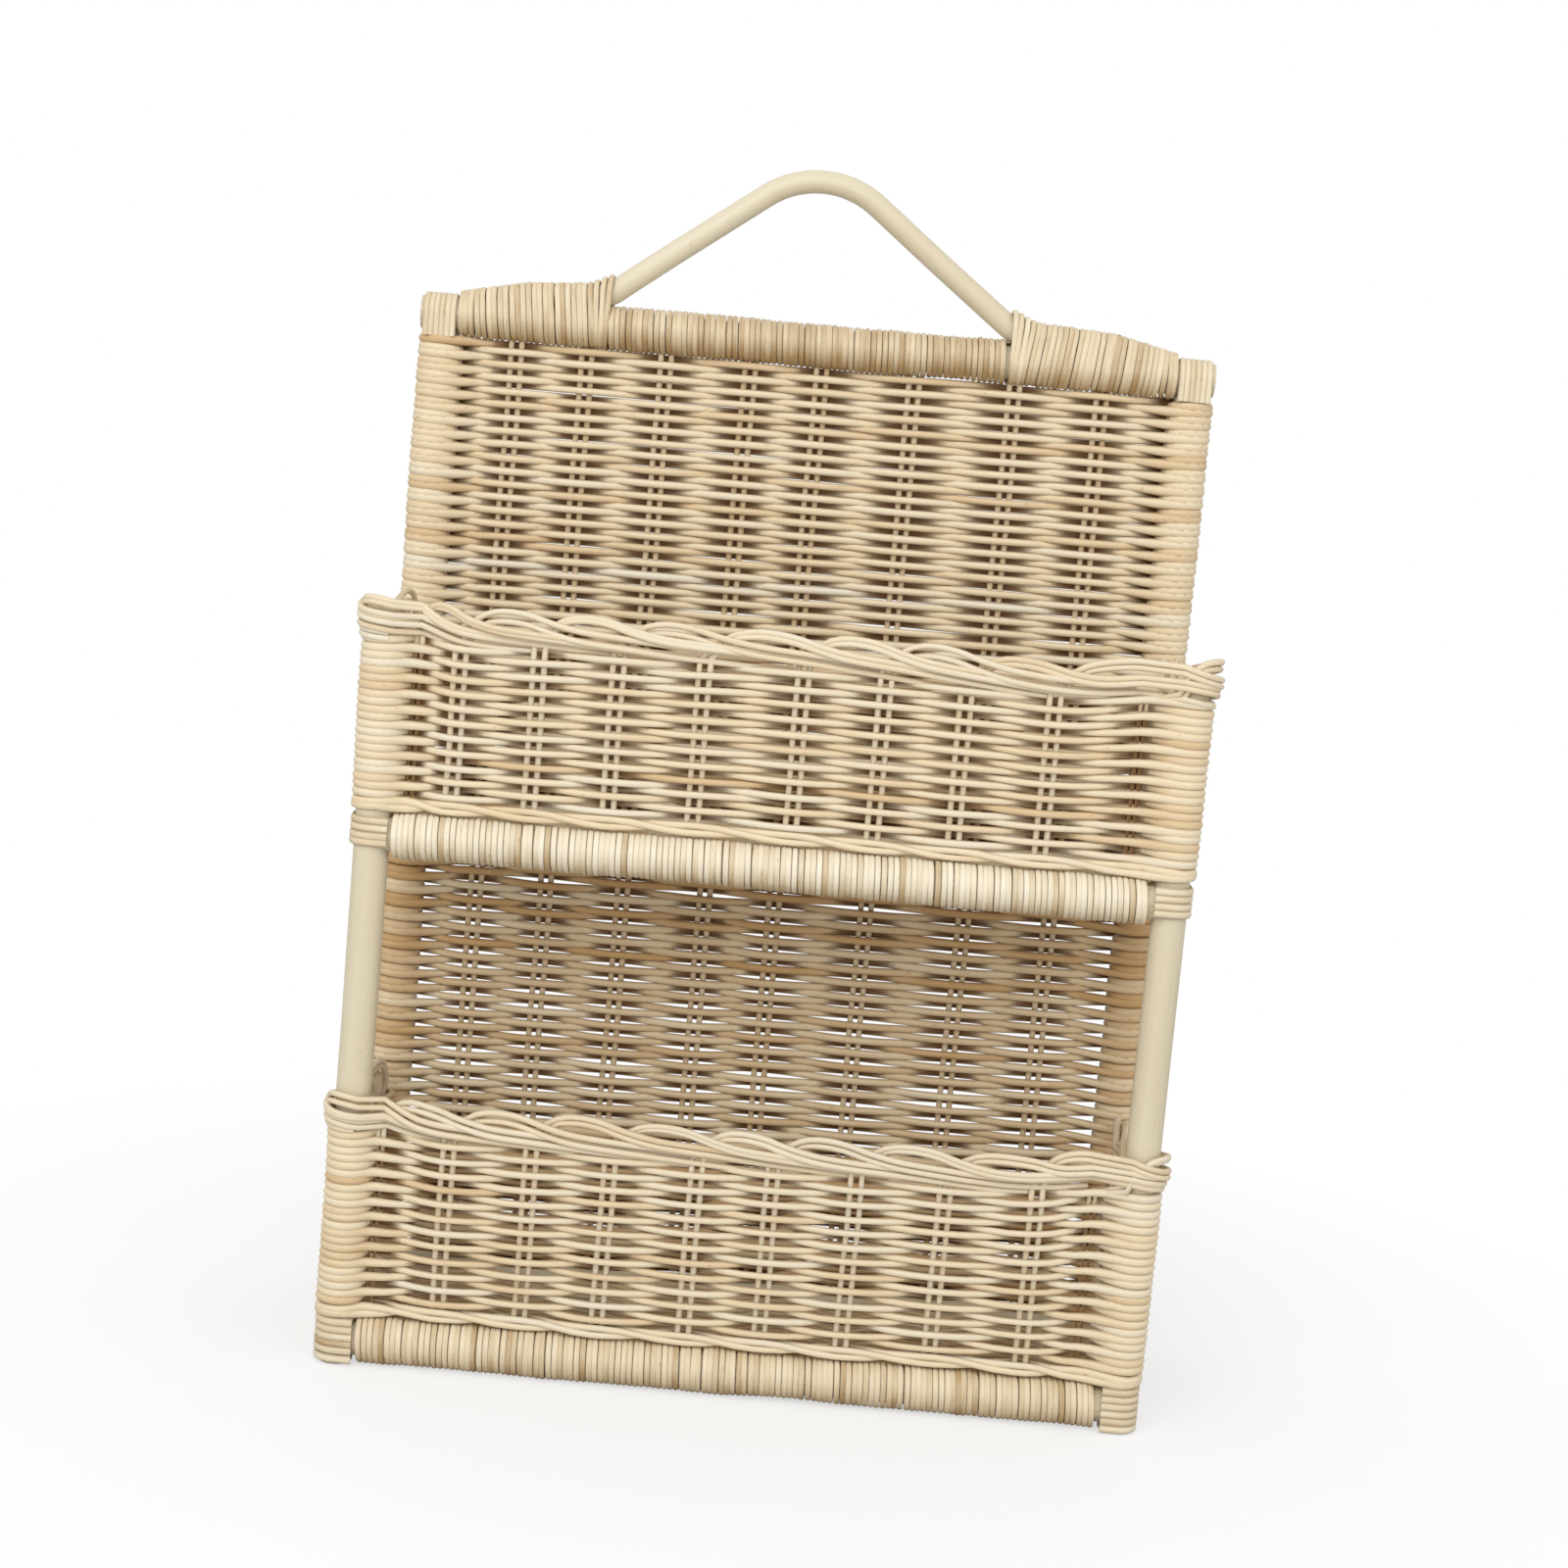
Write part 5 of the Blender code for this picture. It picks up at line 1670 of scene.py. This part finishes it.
@dataclass
class Lashings:
    """Cane laid round the front posts at the rails, and over the top rail at the back posts."""

    loom: Loom
    seed: int = 71
    shelf_turns: int = 4
    base_turns: int = 6
    pitch: float = 3.1 * MM
    thickness: float = 1.7 * MM
    slip: float = 0.15 * MM
    tint: Spot = (0.6, 0.12)
    bend_points: int = 9
    shelf_lift: float = 1.5 * MM
    base_lift: float = 0.65 * MM
    strap_pitch: float = 2.35 * MM
    strap_turns: int = 6
    strap_thickness: float = 1.4 * MM
    strap_shift: float = 0.5 * MM
    strap_tint: Spot = (0.58, 0.12)
    strap_bend_points: int = 11
    lap: float = 1.08

    def build(self) -> None:
        """Makes every lashing and strap."""
        chance = random.Random(self.seed)
        for level, height, turns in (("base", POLES.base_height + self.base_lift, self.base_turns),
                                     ("shelf", POLES.shelf_height + self.shelf_lift, self.shelf_turns)):
            for word, side in SIDES:
                self._lashing(f"{level}_cane_{word}", f"{level}_lashing_{word}", height, turns, side, chance)
        for word, side in SIDES:
            self._strap(f"post_cane_{word}", f"post_strap_{word}", side, chance)

    def _lashing(self, name: str, replaces: str, height: float, turns: int, side: int,
                 chance: random.Random) -> None:
        """Turns of cane round one front post, ending on both rails.

        Args:
            name: The piece's name.
            replaces: The CAD node that it stands for.
            height: Height of its middle.
            turns: Number of turns.
            side: The post's side.
            chance: The seeded source of chance.
        """
        radius = POLES.binding_inner + self.thickness / 2
        reach = POLES.pole_radius
        bend = [(radius * math.cos(a), -radius * math.sin(a))
                for a in np.linspace(0, math.pi / 2, self.bend_points)]
        plan = [(radius, reach), (radius, reach / 2), *bend, (-reach / 2, -radius), (-reach, -radius)]
        outward = [(side * x, min(0.0, y), 0.0) if x > 0 else (0.0, -1.0, 0.0) for x, y in plan]
        strands = []
        for turn in range(turns):
            z = height + (turn - (turns - 1) / 2) * self.pitch + chance.gauss(0, self.slip)
            points = [(side * (POLES.half_wide + x), POLES.front + y, z) for x, y in plan]
            strands.append(Strand.along(points, outward, chance.gauss(*self.tint)))
        section = Section(self.pitch * self.lap, self.thickness)
        self.loom.make(name, strands, section, Palette.cane, [replaces])

    def _strap(self, name: str, replaces: str, side: int, chance: random.Random) -> None:
        """Cane over the top rail and down both sides of one back post.

        Args:
            name: The piece's name.
            replaces: The CAD node that it stands for.
            side: The post's side.
            chance: The seeded source of chance.
        """
        radius = POLES.binding_inner + self.strap_thickness / 2
        foot = -POLES.binding_outer
        bend = [(-radius * math.cos(a), radius * math.sin(a))
                for a in np.linspace(0, math.pi, self.strap_bend_points)]
        plan = [(-radius, foot), (-radius, foot / 2), *bend, (radius, foot / 2), (radius, foot)]
        outward = [(0.0, y, max(0.0, z)) for y, z in plan]
        middle = side * (POLES.half_wide + self.strap_shift)
        strands = []
        for turn in range(self.strap_turns):
            x = middle + (turn - (self.strap_turns - 1) / 2) * self.strap_pitch
            points = [(x, POLES.back + y, POLES.top_height + z) for y, z in plan]
            strands.append(Strand.along(points, outward, chance.gauss(*self.strap_tint)))
        section = Section(self.strap_pitch * self.lap, self.strap_thickness)
        self.loom.make(name, strands, section, Palette.cane, [replaces])


@dataclass(frozen=True)
class Viewpoint:
    """The photograph's viewpoint, as fitted to it."""

    place: Point = (5.7 * MM, -1214.3 * MM, 412.3 * MM)
    yaw: float = math.radians(-0.164)
    pitch: float = math.radians(7.544)
    roll: float = math.radians(5.065)
    lens: float = 66.19
    sensor: float = 36.0

    def build(self) -> None:
        """Makes the camera."""
        ahead = Vector((math.sin(self.yaw) * math.cos(self.pitch), math.cos(self.yaw) * math.cos(self.pitch),
                        -math.sin(self.pitch)))
        level = Vector((math.cos(self.yaw), -math.sin(self.yaw), 0.0))
        above = level.cross(ahead)
        right = level * math.cos(self.roll) + above * math.sin(self.roll)
        up = above * math.cos(self.roll) - level * math.sin(self.roll)
        data = bpy.data.cameras.new("viewpoint")
        data.lens = self.lens
        data.sensor_width = self.sensor
        camera = in_scene("viewpoint", data)
        turn = Matrix((right, up, -ahead)).transposed().to_4x4()
        turn.translation = self.place
        camera.matrix_world = turn
        bpy.context.scene.camera = camera


@dataclass(frozen=True)
class Lamp:
    """One square soft lamp that faces a target."""

    name: str
    place: Point
    target: Point
    size: float
    power: float

    def build(self) -> None:
        """Makes the lamp."""
        data = bpy.data.lights.new(self.name, "AREA")
        data.size = self.size
        data.energy = self.power
        lamp = in_scene(self.name, data)
        lamp.location = self.place
        facing = Vector(self.target) - Vector(self.place)
        lamp.rotation_euler = facing.to_track_quat("-Z", "Y").to_euler()


@dataclass(frozen=True)
class Studio:
    """Plain pale floor, white surroundings and soft light from the upper front."""

    lamps: tuple[Lamp, ...] = (Lamp("key", (-0.5, -1.7, 1.35), (0.0, 0.0, 0.22), 1.7, 22.8),
                               Lamp("fill", (1.3, -1.5, 0.55), (0.0, 0.0, 0.2), 1.2, 4.0))
    surround: float = 0.75
    floor_half: float = 3.0
    floor_clear: Spot = (0.2, 0.5)
    floor_glow: float = 0.6
    floor_tone: float = 0.9
    floor_bounce: float = 0.6
    floor_roughness: float = 0.9

    def build(self) -> None:
        """Makes the floor, the world and the lamps."""
        bpy.context.scene.view_settings.view_transform = "Standard"
        self._world()
        self._floor()
        for lamp in self.lamps:
            lamp.build()

    def _world(self) -> None:
        """White surroundings: plain white to the camera, softer as light."""
        world = bpy.data.worlds.new("surround")
        bpy.context.scene.world = world
        world.use_nodes = True
        kit = Nodes(world.node_tree)
        rays = kit.add("ShaderNodeLightPath").outputs
        mirrored = kit.maths("MAXIMUM", rays["Is Glossy Ray"], rays["Is Transmission Ray"])
        seen = kit.maths("MAXIMUM", rays["Is Camera Ray"], mirrored)
        kit.fill(world.node_tree.nodes["Background"], {
            "Color": (1, 1, 1, 1),
            "Strength": kit.maths("MULTIPLY_ADD", seen, 1.0 - self.surround, self.surround)})

    def _floor(self) -> None:
        """Pale floor that keeps the shadow near the basket and turns plain white further out."""
        half = self.floor_half
        mesh = bpy.data.meshes.new("floor")
        mesh.from_pydata([(-half, -half, 0), (half, -half, 0), (half, half, 0), (-half, half, 0)], [],
                         [(0, 1, 2, 3)])
        floor = in_scene("floor", mesh)
        material = bpy.data.materials.new("floor")
        material.use_nodes = True
        nodes = material.node_tree.nodes
        kit = Nodes(material.node_tree)
        seen = kit.add("ShaderNodeLightPath").outputs["Is Camera Ray"]
        tone = kit.maths("MULTIPLY_ADD", seen, self.floor_tone - self.floor_bounce, self.floor_bounce)
        shader = kit.fill(nodes["Principled BSDF"], {"Roughness": self.floor_roughness, "Base Color": tone})
        glow = kit.add("ShaderNodeEmission", {"Strength": 1.0})
        x, y, _ = kit.split(kit.add("ShaderNodeTexCoord").outputs["Object"])
        squares = kit.maths("ADD", kit.maths("MULTIPLY", x, x), kit.maths("MULTIPLY", y, y))
        outside = kit.ramp(kit.maths("SQRT", squares, 0.0), *self.floor_clear)
        outside = kit.maths("MULTIPLY_ADD", outside, 1 - self.floor_glow, self.floor_glow)
        blend = kit.add("ShaderNodeMixShader", {0: kit.maths("MULTIPLY", outside, seen),
                                                1: shader.outputs[0], 2: glow.outputs[0]})
        kit.fill(nodes["Material Output"], {"Surface": blend.outputs[0]})
        mesh.materials.append(material)


def dress_solids(palette: Palette) -> None:
    """Gives every CAD node that still shows its procedural finish.

    Args:
        palette: The materials.
    """
    slots = {row["node"]: row["material_slot"] for row in frame["record"]["subparts"]}
    for name, node in frame["nodes"].items():
        if node.hide_render:
            continue
        finish = Palette.pole if slots.get(name) == Slot.POLE.value else Palette.cane
        node.data.materials.clear()
        node.data.materials.append(palette.material(finish, on_strand=False))
        LOG.info("%s: carried over", name)


def main() -> None:
    """Builds the basket's looks, from its poles to its rims, and the studio round it."""
    logging.basicConfig(level=logging.INFO, format="%(message)s")
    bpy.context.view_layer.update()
    palette = Palette()
    loom = Loom(palette)
    poles = PoleWork(loom)
    poles.build()
    BackPanel(loom).build()
    Floor(loom, "upper", POLES.shelf_height, bearer_end=30.3 * MM, weave_end=29.8 * MM, seed=31).build()
    Floor(loom, "lower", POLES.base_side_height, bearer_end=44.75 * MM, weave_end=40.1 * MM, seed=33).build()
    Pocket(loom, "upper", front_sill=233.55 * MM, side_sill=234.5 * MM, end_sill=231.05 * MM,
           rim_height=318 * MM, crown=4 * MM, corner_shares=(-0.917, 0.885), seed=41,
           shares=(-0.81, -0.615, -0.42, -0.205, 0.04, 0.245, 0.445, 0.665)).build()
    Pocket(loom, "lower", front_sill=20.05 * MM, side_sill=23.2 * MM, end_sill=23.2 * MM,
           rim_height=113.5 * MM, crown=1 * MM, corner_shares=(-0.925, 0.885), seed=43,
           shares=(-0.75, -0.54, -0.34, -0.12, 0.075, 0.285, 0.51, 0.745)).build()
    reach = 154.05 * MM
    RailWinding(loom, "base_rail_cane", "base_rail_binding", -reach, reach,
                (POLES.front, POLES.base_height), Palette.cane, seed=51).build()
    RailWinding(loom, "shelf_rail_cane", "shelf_rail_binding", -reach, reach,
                (POLES.front, POLES.shelf_height), Palette.pale_cane, seed=52).build()
    RailWinding(loom, "top_rail_cane", "top_rail_binding", start=-89.7 * MM, end=81.7 * MM,
                centre=(POLES.back, POLES.top_height), finish=Palette.cane, seed=53, tone=0.36).build()
    for (word, side), seed in zip(SIDES, (61, 62)):
        HandleBinding(loom, poles, word, side, seed).build()
    Lashings(loom).build()
    dress_solids(palette)
    Viewpoint().build()
    Studio().build()


if __name__ == "__main__":
    main()
